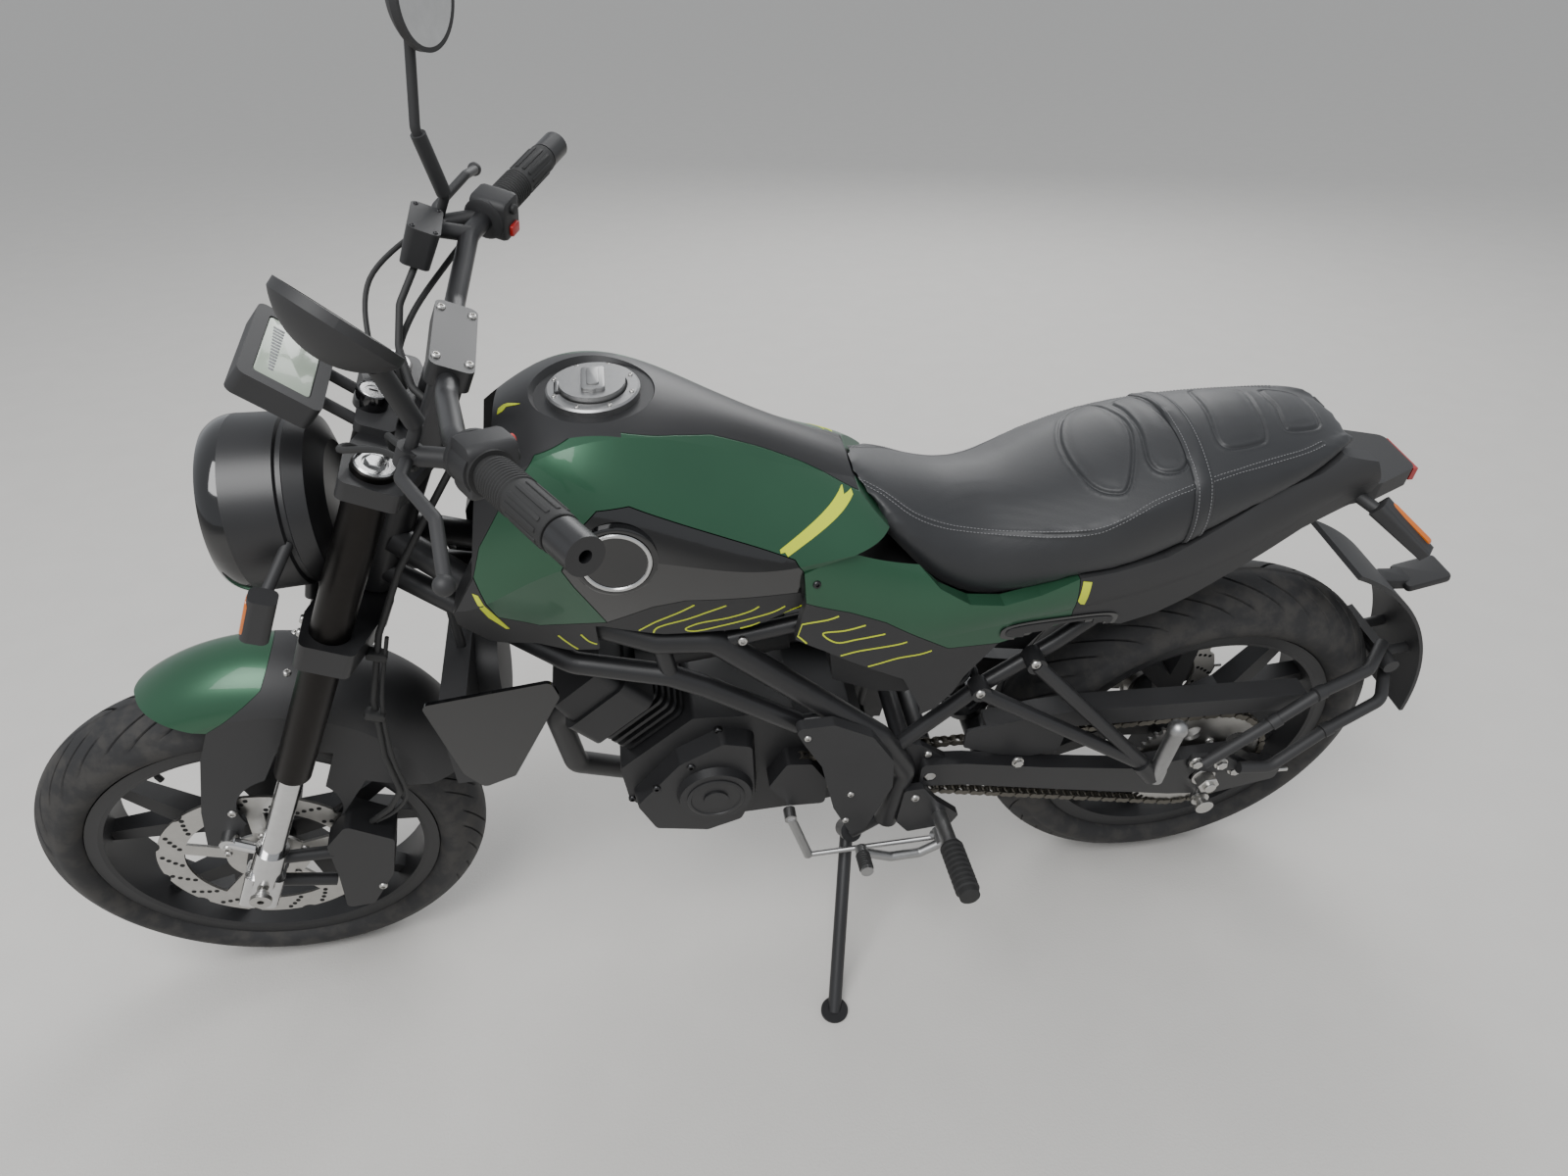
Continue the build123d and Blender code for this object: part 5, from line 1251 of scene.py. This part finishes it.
def side_rows(table, left):
    """Rows for the copies: each screw drops on what it finds near its place, from one side."""
    rows = []
    for x, y, z, radius in table:
        hit = landing(chassis_skin, machine, (x, left * (y + 40), z), (0, -left, 0))
        if hit and abs(abs(hit[0].y) - y) < 30:
            way = hit[1] if hit[1].y * left > 0.9 else Vector((0, left, 0))
            rows.append((hit[0], way, (1, 0, 0.3), radius))
    return rows


bright_rows = side_rows(SIDE_SCREWS + BOTH_SIDE_SCREWS, 1) + side_rows(BOTH_SIDE_SCREWS, -1)
for k in range(8):
    turn = math.radians(22.5 + 45 * k)
    bright_rows.append(((154 + 44 * math.cos(turn), 44 * math.sin(turn), 980.2), (0, 0, 1),
                        (1, 0, 0), 2.6))
repeat("chassis_screws", "chassis", machine, bright_rows, socket_head, zinc)
dark_rows = side_rows(ENGINE_SCREWS + COVER_SCREWS, 1) + side_rows(COVER_SCREWS, -1)
repeat("engine_screws", "chassis", machine, dark_rows, socket_head, dark_steel)
bolts = [((-252, 113, 382), (0, 1, 0), (1, 0, 0), 9), ((-376, 124.5, 399), (0, 1, 0), (1, 0, 0), 7)]
repeat("chassis_bolts", "chassis", machine, bolts + side_rows(CARRIER_BOLTS, 1), hex_head, zinc)

# %% [markdown]
# Around the rear axle everything is bright: a large nut with its flange, a bolt that sets the
# chain's slack in each arm's end, and under each arm a bobbin for the workshop's stand.

# %% Axle nut, adjusters and bobbins
AXLE_NUT = Vector((-685, 121.5, 307))
fittings = Shape(machine)
fittings.turned(AXLE_NUT, (0, 1, 0), [(0, 18.5), (3.5, 18.5), (4.5, 17.5)], 32)
fittings.rings([[AXLE_NUT + Vector((p.x, level, p.y)) for p in hexagon(radius, 0)]
                for level, radius in ((4.5, 16.5), (20, 16.5), (21.5, 15))])
fittings.turned(AXLE_NUT, (0, 1, 0), [(20, 9), (26, 9), (27, 8)], 24)
for left in (1, -1):
    fittings.turned((-806, left * 112, 284), (-1, 0, -0.05),
                    [(0, 7), (9, 7), (10, 6), (10.5, 3.2), (30, 3.2), (31, 2.4)], 16)
    fittings.turned((-697, left * 118, 248), (0, left, 0),
                    [(0, 6), (3, 6), (3.4, 14), (7.6, 14), (9.5, 8), (17, 8), (19, 14), (23, 14),
                     (24, 12.6)], 32)
piece("axle_fittings", "chassis", fittings, zinc)
tabs = Shape(machine)
for left in (1, -1):
    tabs.soft_box((-697, left * 118.5, 262), (1, 0, 0), (0, 1, 0), (28, 46, 5), 8)
piece("bobbin_tabs", "chassis", tabs, frame_paint)

# %% [markdown]
# The steering head has its own screws: on the bar clamp, the top clamp, the fluid box, the lower
# clamp, the fender's legs and the brake caliper. Both brake discs are drilled with slanting rows of
# holes, and small bolts hold the front disc and the sprocket to their hubs.

# %% Screws on the steering and the wheels
steering_rows = [((u, v, 854), (0, 0, 1), (1, 0, 0), 5) for u in (6, -26) for v in (-48, 48)]
lid_rows = [((u, v, 888.3), (0, 0, 1), (1, 0, 0), 2.6) for u in (24, 48) for v in (-138, -194)]
repeat("fluid_box_screws", "steering", fork, lid_rows, socket_head, dark_steel)
fork_skin = surface(*[nodes[name] for name in ("fork_clamps", "front_fender", "front_caliper",
                                               "front_fender_cover", "hand_controls",
                                               "fork_inner_tubes")])
for left in (1, -1):
    for u, w in ((93, 112), (89, 58)):
        hit = landing(fork_skin, fork, (u, left * 200, w), (0, -left, 0))
        if hit:
            steering_rows.append((hit[0], (0, left, 0), (1, 0, 0), 6))
    for w in (500, 478):
        hit = landing(fork_skin, fork, (200, left * 78, w), (-1, 0, 0))
        if hit:
            steering_rows.append((hit[0], (1, 0, 0), (0, 1, 0), 5.5))
for v in (34, -34):
    hit = landing(fork_skin, fork, (68, v, 900), (0, 0, -1))
    if hit:
        steering_rows.append((hit[0], (0, 0, 1), (1, 0, 0), 5))
caliper_low, caliper_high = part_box("front_caliper")
for share in (0.25, 0.8):
    place = fork.inverted() @ caliper_low.lerp(caliper_high, share)
    hit = landing(fork_skin, fork, (place.x, 200, place.z), (0, -1, 0))
    if hit:
        steering_rows.append((hit[0], (0, 1, 0), (1, 0, 0), 6))
repeat("steering_screws", "steering", fork, steering_rows, socket_head, zinc)


def disc_rows(radius, y, width, count, inner, outer):
    """Slanting rows of drilled holes round a brake disc."""
    rows = []
    for k in range(count):
        for step in range(4):
            turn = 2 * math.pi * (k + 0.16 * step) / count
            r = inner + (outer - inner) * step / 3
            for face in (1, -1):
                spot = (r * math.cos(turn), y + face * (width / 2 + 0.12), r * math.sin(turn))
                rows.append((spot, (0, face, 0), (1, 0, 0), radius))
    return rows


# The drilled holes are thin discs of painted shade on both faces of each brake disc, not openings.
repeat("front_disc_holes", "front_wheel", front_wheel,
       disc_rows(3.2, 56, 4, 18, 112, 133), hole_shade_disc, painted_shade)
repeat("rear_disc_holes", "rear_wheel", rear_wheel,
       disc_rows(3.0, -78, 4, 15, 82, 103), hole_shade_disc, painted_shade)
disc_bolts = [((52 * math.cos(t), 58.2, 52 * math.sin(t)), (0, 1, 0), (1, 0, 0), 5.5)
              for t in (2 * math.pi * k / 5 for k in range(5))]
repeat("front_disc_bolts", "front_wheel", front_wheel, disc_bolts, socket_head, zinc)
sprocket_bolts = [((42 * math.cos(t), 91.2, 42 * math.sin(t)), (0, 1, 0), (1, 0, 0), 6)
                  for t in (2 * math.pi * (k + 0.5) / 5 for k in range(5))]
repeat("sprocket_bolts", "rear_wheel", rear_wheel, sprocket_bolts, hex_head, zinc)
VALVE_WAY = Vector((math.cos(math.radians(30)), 0, math.sin(math.radians(30))))
for name, body, hub in (("front_valve", "front_wheel", front_wheel),
                        ("rear_valve", "rear_wheel", rear_wheel)):
    valve = Shape(hub)
    valve.turned(VALVE_WAY * 205, Vector((0, 0.35, 0)) - VALVE_WAY,
                 [(0, 7), (3, 6.5), (6, 4.2), (24, 3.4), (24.5, 4.2), (34, 4.2), (35, 3)], 12)
    piece(name, body, valve, rubber)

# %% [markdown]
# The lime stripes are lacquer on black covers: short bars on the tank and the tail, and thin
# flowing lines like the contours of a map on the lower covers. All of them are laid by rays from
# the side, so they follow each cover's curve.

# %% Stripes and lines
BELLY_LINES = [
    [(224, 718), (217, 704), (207, 688), (197, 677), (191, 679)],
    [(198, 719), (190, 703), (178, 695), (166, 694)],
    [(158, 730), (163, 717), (161, 709), (153, 710), (134, 723), (122, 733), (109, 743), (84, 758),
     (67, 770)],
    [(110, 710), (115, 717), (112, 727), (101, 734), (75, 743), (53, 753), (31, 762)],
    [(-7, 751), (4, 744), (29, 737), (59, 733), (75, 726), (78, 721), (72, 717), (60, 717),
     (33, 723), (4, 729), (-23, 735), (-38, 743)],
    [(44, 704), (20, 711), (-17, 718), (-46, 723), (-56, 726), (-57, 739)]]
LOWER_LINES = [
    [(-99, 733), (-86, 728), (-65, 722), (-51, 716), (-44, 711), (-45, 705), (-58, 692),
     (-74, 672)],
    [(-132, 714), (-107, 708), (-82, 704), (-99, 687), (-124, 691), (-157, 696)],
    [(-186, 677), (-173, 674), (-133, 670), (-116, 666), (-97, 659)],
    [(-220, 654), (-205, 650), (-178, 648), (-152, 641), (-133, 636)]]
LINE_WIDTH = 2.0
belly_skin = surface(nodes["belly_covers"])
lower_skin = surface(nodes["lower_side_covers"])
tank_skin = surface(nodes["fuel_tank"], nodes["tank_panels"], nodes["tank_inserts"])
tail_skin = surface(nodes["tail_cover"], nodes["side_covers"])
lime_lines = Shape(machine)
for left in (1, -1):
    for line in BELLY_LINES:
        drawn_line(lime_lines, belly_skin, from_side(left), line, LINE_WIDTH)
    for line in LOWER_LINES:
        drawn_line(lime_lines, lower_skin, from_side(left), line, LINE_WIDTH)
    patch(lime_lines, surface(nodes["tank_panels"]), from_side(left),
          [(-21, 829), (-39, 824), (-136, 861), (-119, 868)], 0.5, 5)
    patch(lime_lines, surface(nodes["tail_cover"]), from_side(left),
          [(-397, 744), (-408, 742), (-406, 706), (-395, 710)], 0.5, 5)
    patch(lime_lines, surface(nodes["fuel_tank"], nodes["belly_covers"]), from_side(left),
          [(303, 808), (297, 806), (286, 768), (276, 736), (280, 736), (294, 764)])
patch(lime_lines, tank_skin, from_above,
      [(256, 14), (255, 4), (249, 2), (244, 4), (230, 16), (236, 14), (246, 9), (250, 14)], grid=4)
piece("lime_stripes", "chassis", lime_lines, lime_paint)

# %% [markdown]
# The round badge on each side of the tank stays bare: a dark domed disc in a silver ring, set in a
# stepped black rim. The oval plates behind the side covers stay bare too, with a raised rim.

# %% Badge discs and oval plates
BADGE = (146, 859)
badge_rims = Shape(machine)
badge_rings = Shape(machine)
badge_discs = Shape(machine)
for left in (1, -1):
    hits = [landing(tank_skin, machine, (BADGE[0] + a, left * 500, BADGE[1] + b), (0, -left, 0))
            for a, b in ((0, 0), (30, 0), (-30, 0), (0, 30), (0, -30))]
    hits = [hit for hit in hits if hit]
    normal = sum((hit[1] for hit in hits), Vector()).normalized()
    middle = hits[0][0]
    rise = max((hit[0] - middle).dot(normal) for hit in hits)
    base = middle + normal * (rise - 2)
    for shape, profile in (
            (badge_rims, [(-6, 44), (1.5, 44), (3.0, 42), (3.2, 38.5), (1, 38), (-6, 38)]),
            (badge_rings, [(-5, 37.5), (4.2, 37.5), (5.2, 36.4), (5.2, 33.6), (3.8, 32.6),
                           (-5, 32.6)]),
            (badge_discs, [(-4, 32.4), (3.4, 32.4), (4.4, 24), (5.0, 12), (5.2, 0.1)])):
        shape.turned(base, normal, profile, 48)
piece("badge_rims", "chassis", badge_rims, gloss_black)
piece("badge_rings", "chassis", badge_rings, silver_ring)
piece("badge_discs", "chassis", badge_discs, gloss_black)


OVAL_MIDDLE = (-383, 669)
OVAL_SLOPE = 0.02
OVAL_POINTS = 48
OVAL_POWER = 3.2


def oval(half_long, half_high):
    """A rounded long outline in the side view, between an ellipse and a rectangle."""
    spots = []
    for k in range(OVAL_POINTS):
        turn = 2 * math.pi * k / OVAL_POINTS
        c, s = math.cos(turn), math.sin(turn)
        a = half_long * math.copysign(abs(c) ** (2 / OVAL_POWER), c)
        b = half_high * math.copysign(abs(s) ** (2 / OVAL_POWER), s)
        spots.append((OVAL_MIDDLE[0] + a * math.cos(OVAL_SLOPE) - b * math.sin(OVAL_SLOPE),
                      OVAL_MIDDLE[1] + a * math.sin(OVAL_SLOPE) + b * math.cos(OVAL_SLOPE)))
    return spots


oval_rims = Shape(machine)
oval_plates = Shape(machine)
for left in (1, -1):
    patch(oval_rims, tail_skin, from_side(left), oval(78, 17), 2.0, 9)
    patch(oval_plates, tail_skin, from_side(left), oval(71, 11.5), 3.0, 9)
piece("oval_rims", "chassis", oval_rims, gloss_black, 50)
piece("oval_plates", "chassis", oval_plates, tank_black, 50)

# %% [markdown]
# Rubber parts under hand and foot are ribbed. The grips are moulded with rings and long flutes, the
# footrests with thick rings, and the gear pedal has a short ribbed sleeve. Each is one turned form
# with its ribs in the profile. The passenger's pegs are bare alloy with a ball at the end.

# %% Grips, footrests and pedal rubber
BAR_END = Vector((-99, 398, 935))
BAR_KNEE = Vector((-14, 202, 870))
bar_out = (BAR_END - BAR_KNEE).normalized()
GRIP_START = BAR_END - bar_out * 36.3
GRIP_RADIUS = 17.3
GRIP_FLUTES = 12


def mirrored(place, left):
    """A place on the left side, or its mirror image where left is -1."""
    return Vector((place[0], place[1] * left, place[2]))


def ribbed(length, radius, first, last, step, height):
    """A lathe profile whose radius rises at each rib."""
    profile = [(0, radius - 2), (1, radius)]
    at = first
    while at < last:
        profile += [(at, radius), (at + step * 0.2, radius + height),
                    (at + step * 0.55, radius + height), (at + step * 0.75, radius)]
        at += step
    return profile + [(length - 1, radius), (length, radius - 2)]


grip_ribs = Shape(fork)
for left in (1, -1):
    grip_ribs.turned(mirrored(GRIP_START, left), mirrored(-bar_out, left),
                     ribbed(110, GRIP_RADIUS, 66, 104, 4.2, 1.3), 32)
    first, second = across_pair(mirrored(bar_out, left))
    for k in range(GRIP_FLUTES):
        turn = 2 * math.pi * k / GRIP_FLUTES
        out = first * math.cos(turn) + second * math.sin(turn)
        middle = mirrored(GRIP_START - bar_out * 34, left) + out * GRIP_RADIUS
        grip_ribs.soft_box(middle, mirrored(bar_out, left), out, (50, 4.2, 2.0), 1.4)
piece("grip_ribs", "steering", grip_ribs, rubber)
foot_rubber = Shape(machine)
for left in (1, -1):
    start = mirrored((-270, 192, 314.2), left)
    way = (mirrored((-270, 282, 328), left) - start).normalized()
    foot_rubber.turned(start, way, ribbed(92, 14.4, 3, 84, 9.0, 2.6), 28)
foot_rubber.turned((-150, 166, 279.6), (0, 45, 8), ribbed(32, 9.3, 2, 28, 4.0, 1.2), 20)
foot_rubber.turned((-150, -160, 269.4), (0, -46, 8), ribbed(34, 9.3, 2, 30, 4.0, 1.2), 20)
piece("foot_rubbers", "chassis", foot_rubber, rubber)
passenger_pegs = Shape(machine)
for left in (1, -1):
    start = mirrored((-580, 150, 358), left)
    ball = [(111 - 13.8 * math.cos(t), 13.8 * math.sin(t))
            for t in (math.radians(60 + 12 * k) for k in range(11))]
    passenger_pegs.turned(start, mirrored((-4, 2, 106), left),
                          [(0, 13), (22, 12.6), (26, 11.3)] + ball, 28)
piece("passenger_pegs", "chassis", passenger_pegs, cast_alloy)

# %% [markdown]
# The switch boxes, the instrument and the ignition lock are what a rider touches and reads. The
# buttons are soft boxes on the rear faces of the switch boxes. The screen is a plain grey panel
# with a bare bar scale, because the machine is switched off. The fork's caps stand on the packed
# tubes, so their place is measured on the tubes' own points.

# %% Switches, screen and lock
switch_middle = GRIP_START - bar_out * 134
switch_boxes = Shape(fork)
grey_buttons = Shape(fork)
red_buttons = Shape(fork)
black_buttons = Shape(fork)
for left in (1, -1):
    way = mirrored(bar_out, left)
    middle = mirrored(switch_middle, left)
    back = Vector((-1, 0, 0.35)).normalized()
    back = (back - way * back.dot(way)).normalized()
    upward = way.cross(back) * -left
    switch_boxes.soft_box(middle + back * 4, way, back, (38, 50, 46), 9)
    switch_boxes.turned(middle - way * 21, way, [(0, 21), (2, 24.5), (6, 24.5), (8, 21)], 28)
    face = middle + back * 27.5
    if left > 0:
        grey_buttons.soft_box(face + upward * 13, way, back, (20, 13, 6), 3)
        black_buttons.turned(face - upward * 2, back, [(-3, 6.5), (4, 6.5), (5.5, 5), (6, 0.1)], 20)
        red_buttons.turned(face - upward * 16, back, [(-3, 5), (2, 5), (3, 4), (3.2, 0.1)], 20)
    else:
        red_buttons.soft_box(face + upward * 13, way, back, (18, 14, 7), 3)
        black_buttons.turned(face - upward * 12, back, [(-3, 6), (3, 6), (4, 5), (4.4, 0.1)], 20)
piece("switch_boxes", "steering", switch_boxes, moulded_black)
piece("switch_grey_buttons", "steering", grey_buttons, grey_plastic)
piece("switch_red_buttons", "steering", red_buttons, red_plastic)
piece("switch_black_buttons", "steering", black_buttons, rubber)
dash_up = Vector((-0.30, 0, 0.954)).normalized()
dash_ahead = Vector((dash_up.z, 0, -dash_up.x))
dash_middle = Vector((131, 0, 779))
screen = Shape(fork)
screen.soft_box(dash_middle - dash_up * 1.6, dash_ahead, dash_up, (54, 100, 2.0), 4)
piece("instrument_screen", "steering", screen, screen_grey)
scale_bars = Shape(fork)
for k in range(14):
    height = 5 + 0.5 * k
    middle = (dash_middle - dash_up * 0.5 + dash_ahead * (10 + height / 2)
              + Vector((0, 36 - 5.4 * k, 0)))
    scale_bars.soft_box(middle, dash_ahead, dash_up, (height, 3.2, 0.3), 0.8)
piece("instrument_scale", "steering", scale_bars, grey_plastic)
LOCK_FOOT = (50, 0, 747)
lock = Shape(fork)
lock.turned(LOCK_FOOT, (0, 0, 1), [(0, 17.5), (15, 17.5), (19, 16), (19.4, 14.5), (17, 14)], 32)
piece("ignition_lock_ring", "steering", lock, gloss_black)
barrel = Shape(fork)
barrel.turned(LOCK_FOOT, (0, 0, 1), [(14, 14), (18.6, 14), (19.4, 13), (19.4, 8), (18.6, 7.6),
                                     (18.6, 0.1)], 32)
piece("ignition_lock_barrel", "steering", barrel, silver_ring)
# The key slot is a thin dark plate on the barrel's top: painted shade for the slot's recess.
slot = Shape(fork)
slot.soft_box((50, 0, 765.8), (1, 0, 0), (0, 0, 1), (9, 2.4, 0.5), 1.0)
piece("ignition_key_slot", "steering", slot, painted_shade)
tube_places = np.array([fork.inverted() @ v.co for v in nodes["fork_outer_tubes"].data.vertices])
left_tube = tube_places[tube_places[:, 1] > 0]
tube_top = float(left_tube[:, 2].max())
top_edge = left_tube[left_tube[:, 2] > tube_top - 2]
tube_middle = (top_edge.min(0) + top_edge.max(0)) / 2
tube_caps = Shape(fork)
for left in (1, -1):
    tube_caps.turned((tube_middle[0], left * tube_middle[1], tube_top - 1), (0, 0, 1),
                     [(0, 20.5), (3, 20.5), (4.6, 19), (4.6, 13), (2.4, 12), (2.4, 0.1)], 40)
    cap = Vector((tube_middle[0], left * tube_middle[1], tube_top))
    tube_caps.rings([[cap + corner for corner in hexagon(radius, level)]
                     for radius, level in ((10.5, 0), (10.5, 5.2), (9.6, 6))])
piece("fork_caps", "steering", tube_caps, silver_ring)
print("fork caps at", [round(float(v)) for v in tube_middle])

# %% [markdown]
# The lid of the fuel cap carries a raised lock cover of two steps. It rides on the lid, so it
# swings up with it. A ray finds the lid's own top, so that the cover neither floats nor sinks.

# %% Lock cover on the cap's lid
lid_top = landing(surface(nodes["fuel_cap_lid"]), machine, (140, 20, 1200), (0, 0, -1))[0].z
flap = Shape(machine)
flap.soft_box((153, 0, lid_top + 1.5), (1, 0, 0), (0, 0, 1), (25, 46, 6), 5)
flap.soft_box((153, 0, lid_top + 4.6), (1, 0, 0), (0, 0, 1), (13, 34, 4), 4)
piece("cap_lock_cover", "filler_lid", flap, cast_alloy)
print("the lid's top is at", round(lid_top, 1))

# %% [markdown]
# Behind the headlight's lens sits a shallow bright bowl with a dark bar across its middle and a
# white ring for the daytime light. The indicators get amber lenses. The tail lamp's red one is a
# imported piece, and has its finish already.

# %% Lamps
LAMP = Vector((140, 0, 584))
lamp_way = Vector((math.cos(RAKE), 0, -math.sin(RAKE)))
lamp_up = lamp_way.cross(Vector((0, 1, 0)))
bowl = Shape(fork)
bowl.turned(LAMP, lamp_way, [(0.4, 20), (1.2, 30), (4, 52), (9, 70), (15.5, 84.6), (16.5, 84.6),
                             (16.5, 82), (10, 68), (5, 50), (2.2, 30), (1.4, 20)], 64)
piece("headlight_bowl", "steering", bowl, polished)
ring_light = Shape(fork)
ring_light.turned(LAMP, lamp_way, [(13.8, 76), (17.6, 76), (18.6, 78), (18.6, 81.5), (17.6, 83),
                                   (13.8, 83)], 64)
piece("headlight_ring", "steering", ring_light, white_lens)
middle_bar = Shape(fork)
middle_bar.soft_box(LAMP + lamp_way * 8, lamp_up, lamp_way, (18, 146, 14), 6)
middle_bar.turned(LAMP, lamp_way, [(1, 27), (14, 25), (20, 20), (23, 10), (23.6, 0.1)], 40)
piece("headlight_middle", "steering", middle_bar, gloss_black)
amber = Shape(fork)
for left in (1, -1):
    amber.soft_box((118.5, left * 150, 565), (0, 1, 0), (1, 0, 0), (19, 50, 7), 7)
piece("front_indicator_lenses", "steering", amber, amber_lens)
rear_amber = Shape(machine)
for left in (1, -1):
    way = Vector((-53, left * 56, -43)).normalized()
    start = Vector((-787, left * 86, 786))
    face = Vector((-1, 0, 0))
    face = (face - way * face.dot(way)).normalized()
    rear_amber.soft_box(start + way * 41 + face * 10.5, way, face, (70, 17, 7), 7)
piece("rear_indicator_lenses", "chassis", rear_amber, amber_lens)

# %% [markdown]
# Cables are pipes along flowing lines. Two on each side run from the bar to behind the headlight,
# and a thin wire follows the left fork leg down to the wheel, held by two clips. All are fixed at
# both ends.

# %% Cables and wires
# Each row: the radius, then the places that the line runs through
CABLES = [
    (3.0, [(12, 236, 856), (40, 210, 846), (70, 160, 800), (60, 96, 760), (26, 70, 726),
           (-6, 72, 690)]),
    (3.6, [(-20, 236, 862), (0, 190, 838), (22, 130, 800), (30, 80, 770), (12, 66, 730),
           (-8, 66, 690)]),
    (3.6, [(-20, -236, 862), (0, -190, 838), (26, -120, 800), (32, -70, 768), (14, -62, 730),
           (-8, -64, 690)]),
    (3.0, [(10, -238, 858), (40, -206, 850), (76, -150, 806), (62, -90, 764), (26, -66, 724),
           (-4, -66, 690)]),
    (2.6, [(-24, 84, 500), (-40, 96, 400), (-72, 102, 308), (-104, 97, 236), (-102, 84, 176),
           (-84, 78, 138)])]
cables = Shape(fork)
for radius, route in CABLES:
    cables.pipe(smooth(route, 8), radius)
for place in ((-19, 85, 470), (-36, 97, 380)):
    cables.soft_box(place, (0, 0, 1), (0, 1, 0), (12, 24, 14), 4)
piece("cables", "steering", cables, rubber)

# %% [markdown]
# The radiator's core is a row of upright fins with flat tubes across them. One fin is a thin soft
# plate, and its copies stand side by side over the whole core. The engine's turned cover rims and
# the silencer's bands are lathe forms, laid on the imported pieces.

# %% Radiator fins and engine trim
fin = Shape(PLAIN)
fin.soft_box((0, 0, 0), (1, 0, 0), (0, 0, 1), (3, 0.9, 130), 0.3)
fin_rows = [((370.6, -112 + 4.0 * k, 578), (0, 0, 1), (1, 0, 0), 1.0) for k in range(57)]
repeat("radiator_fins", "chassis", machine, fin_rows, fin, dark_steel)
tube_shape = Shape(PLAIN)
tube_shape.soft_box((0, 0, 0), (1, 0, 0), (0, 0, 1), (3.4, 232, 2.2), 0.8)
tube_rows = [((371.4, 0, 516 + 9.6 * k), (0, 0, 1), (1, 0, 0), 1.0) for k in range(14)]
repeat("radiator_tubes", "chassis", machine, tube_rows, tube_shape, moulded_black)
covers = Shape(machine)
for x, z, radius, y in ((53, 380, 40, 112), (-30, 395, 56, -118), (92, 370, 22, -118)):
    way = Vector((0, 1 if y > 0 else -1, 0))
    covers.turned((x, y, z), way, [(-2, radius), (1.6, radius), (2.6, radius - 1.5),
                                   (2.6, radius - 5), (1.2, radius - 6), (1.2, 0.1)], 48)
piece("engine_cover_rims", "chassis", covers, engine_paint)
exhaust_trim = Shape(machine)
silencer_front = Vector((-322, -182, 262))
silencer_rear = Vector((-610, -206, 345))
silencer_way = (silencer_rear - silencer_front).normalized()
exhaust_trim.turned(silencer_rear - silencer_way * 6, silencer_way,
                    [(0, 46.6), (8, 46.6), (11, 44), (11, 31), (6, 30)], 48)
exhaust_trim.turned(silencer_front + silencer_way * 30, silencer_way,
                    [(0, 46.2), (0.5, 47.6), (17.5, 47.6), (18, 46.2)], 48)
piece("silencer_bands", "chassis", exhaust_trim, dark_steel)
# The outlet is a dark disc set just inside the pipe's end: painted shade for the inside of the pipe.
outlet = Shape(machine)
outlet.turned(silencer_rear - silencer_way * 2, silencer_way, [(0, 30), (7.2, 30), (7.4, 0.1)], 40)
piece("silencer_outlet", "chassis", outlet, painted_shade)

# %% [markdown]
# At the back a lamp hood stands on a short neck over the bare plate, and the tubes of the plate
# carrier have clamps.

# %% Rear trim
rear_trim = Shape(machine)
rear_trim.soft_box((-1000, 0, 572), (1, 0, -0.24), (0.24, 0, 1), (66, 50, 14), 7)
rear_trim.soft_box((-962, 0, 566), (1, 0, 0.1), (-0.1, 0, 1), (56, 30, 18), 6)
for place, way in (((-762, 121, 420), (-59, -9, 42)), ((-871, 108, 367), (-90, -20, 30)),
                   ((-821, 112, 462), (-80, -18, 14))):
    run = Vector(way).normalized()
    rear_trim.turned(Vector(place) - run * 8, run, [(0, 9.4), (0.6, 10.8), (15.4, 10.8), (16, 9.4)],
                     24)
piece("plate_trim", "chassis", rear_trim, moulded_black)

# %% [markdown]
# Under the seat sit the battery's box and a flat tray. They are hardly seen, but without them the
# light of the floor would show through the joints between the covers.

# %% Tray under the seat
tray = Shape(machine)
tray.soft_box((-165, 0, 690), (1, 0, 0), (0, 0, 1), (170, 170, 84), 10)
tray.soft_box((-400, 0, 712), (1, 0, -0.12), (0.12, 0, 1), (360, 196, 8), 12)
piece("seat_tray", "chassis", tray, moulded_black)

# %% [markdown]
# The studio has a wide pale floor, a bright even sky, one large soft lamp high on the left and a
# weaker one behind. The daylight is soft, so the shadows have no edge, and the lamps only add the
# broad highlights on the paint and the seat.

# %% Floor, sky and lamps
FLOOR_HALF = 90.0
SKY_STRENGTH = 0.72


def floor_mesh():
    """One large square at the height of zero."""
    mesh = bpy.data.meshes.new("floor")
    corners = [(-FLOOR_HALF, -FLOOR_HALF, 0), (FLOOR_HALF, -FLOOR_HALF, 0),
               (FLOOR_HALF, FLOOR_HALF, 0), (-FLOOR_HALF, FLOOR_HALF, 0)]
    mesh.from_pydata(corners, [], [(0, 1, 2, 3)])
    return mesh


floor = bpy.data.objects.new("floor", floor_mesh())
bpy.context.scene.collection.objects.link(floor)
floor_finish = grained("floor_grey", (0.55, 0.535, 0.51), 0.85, 0.004, 0.0004, tone=0.04)
floor.data.materials.append(floor_finish.material)

world = bpy.data.worlds.new("studio_sky")
world.use_nodes = True
sky = world.node_tree.nodes["Background"]
sky.inputs["Color"].default_value = (0.93, 0.96, 1.0, 1.0)
sky.inputs["Strength"].default_value = SKY_STRENGTH
bpy.context.scene.world = world


def soft_lamp(name, place, target, size, power):
    """A square area lamp that looks at a target."""
    light = bpy.data.lights.new(name, "AREA")
    light.shape = "SQUARE"
    light.size = size
    light.energy = power
    lamp = bpy.data.objects.new(name, light)
    way = (Vector(target) - Vector(place)).to_track_quat("-Z", "Y")
    lamp.matrix_world = Matrix.Translation(place) @ way.to_matrix().to_4x4()
    bpy.context.scene.collection.objects.link(lamp)
    print(name, power, "W")


soft_lamp("key_lamp", (1.5, 2.5, 4.5), (0, 0, 0.5), 3.0, 260)
soft_lamp("back_lamp", (-1.5, -4.0, 3.5), (0, 0, 0.6), 3.0, 120)
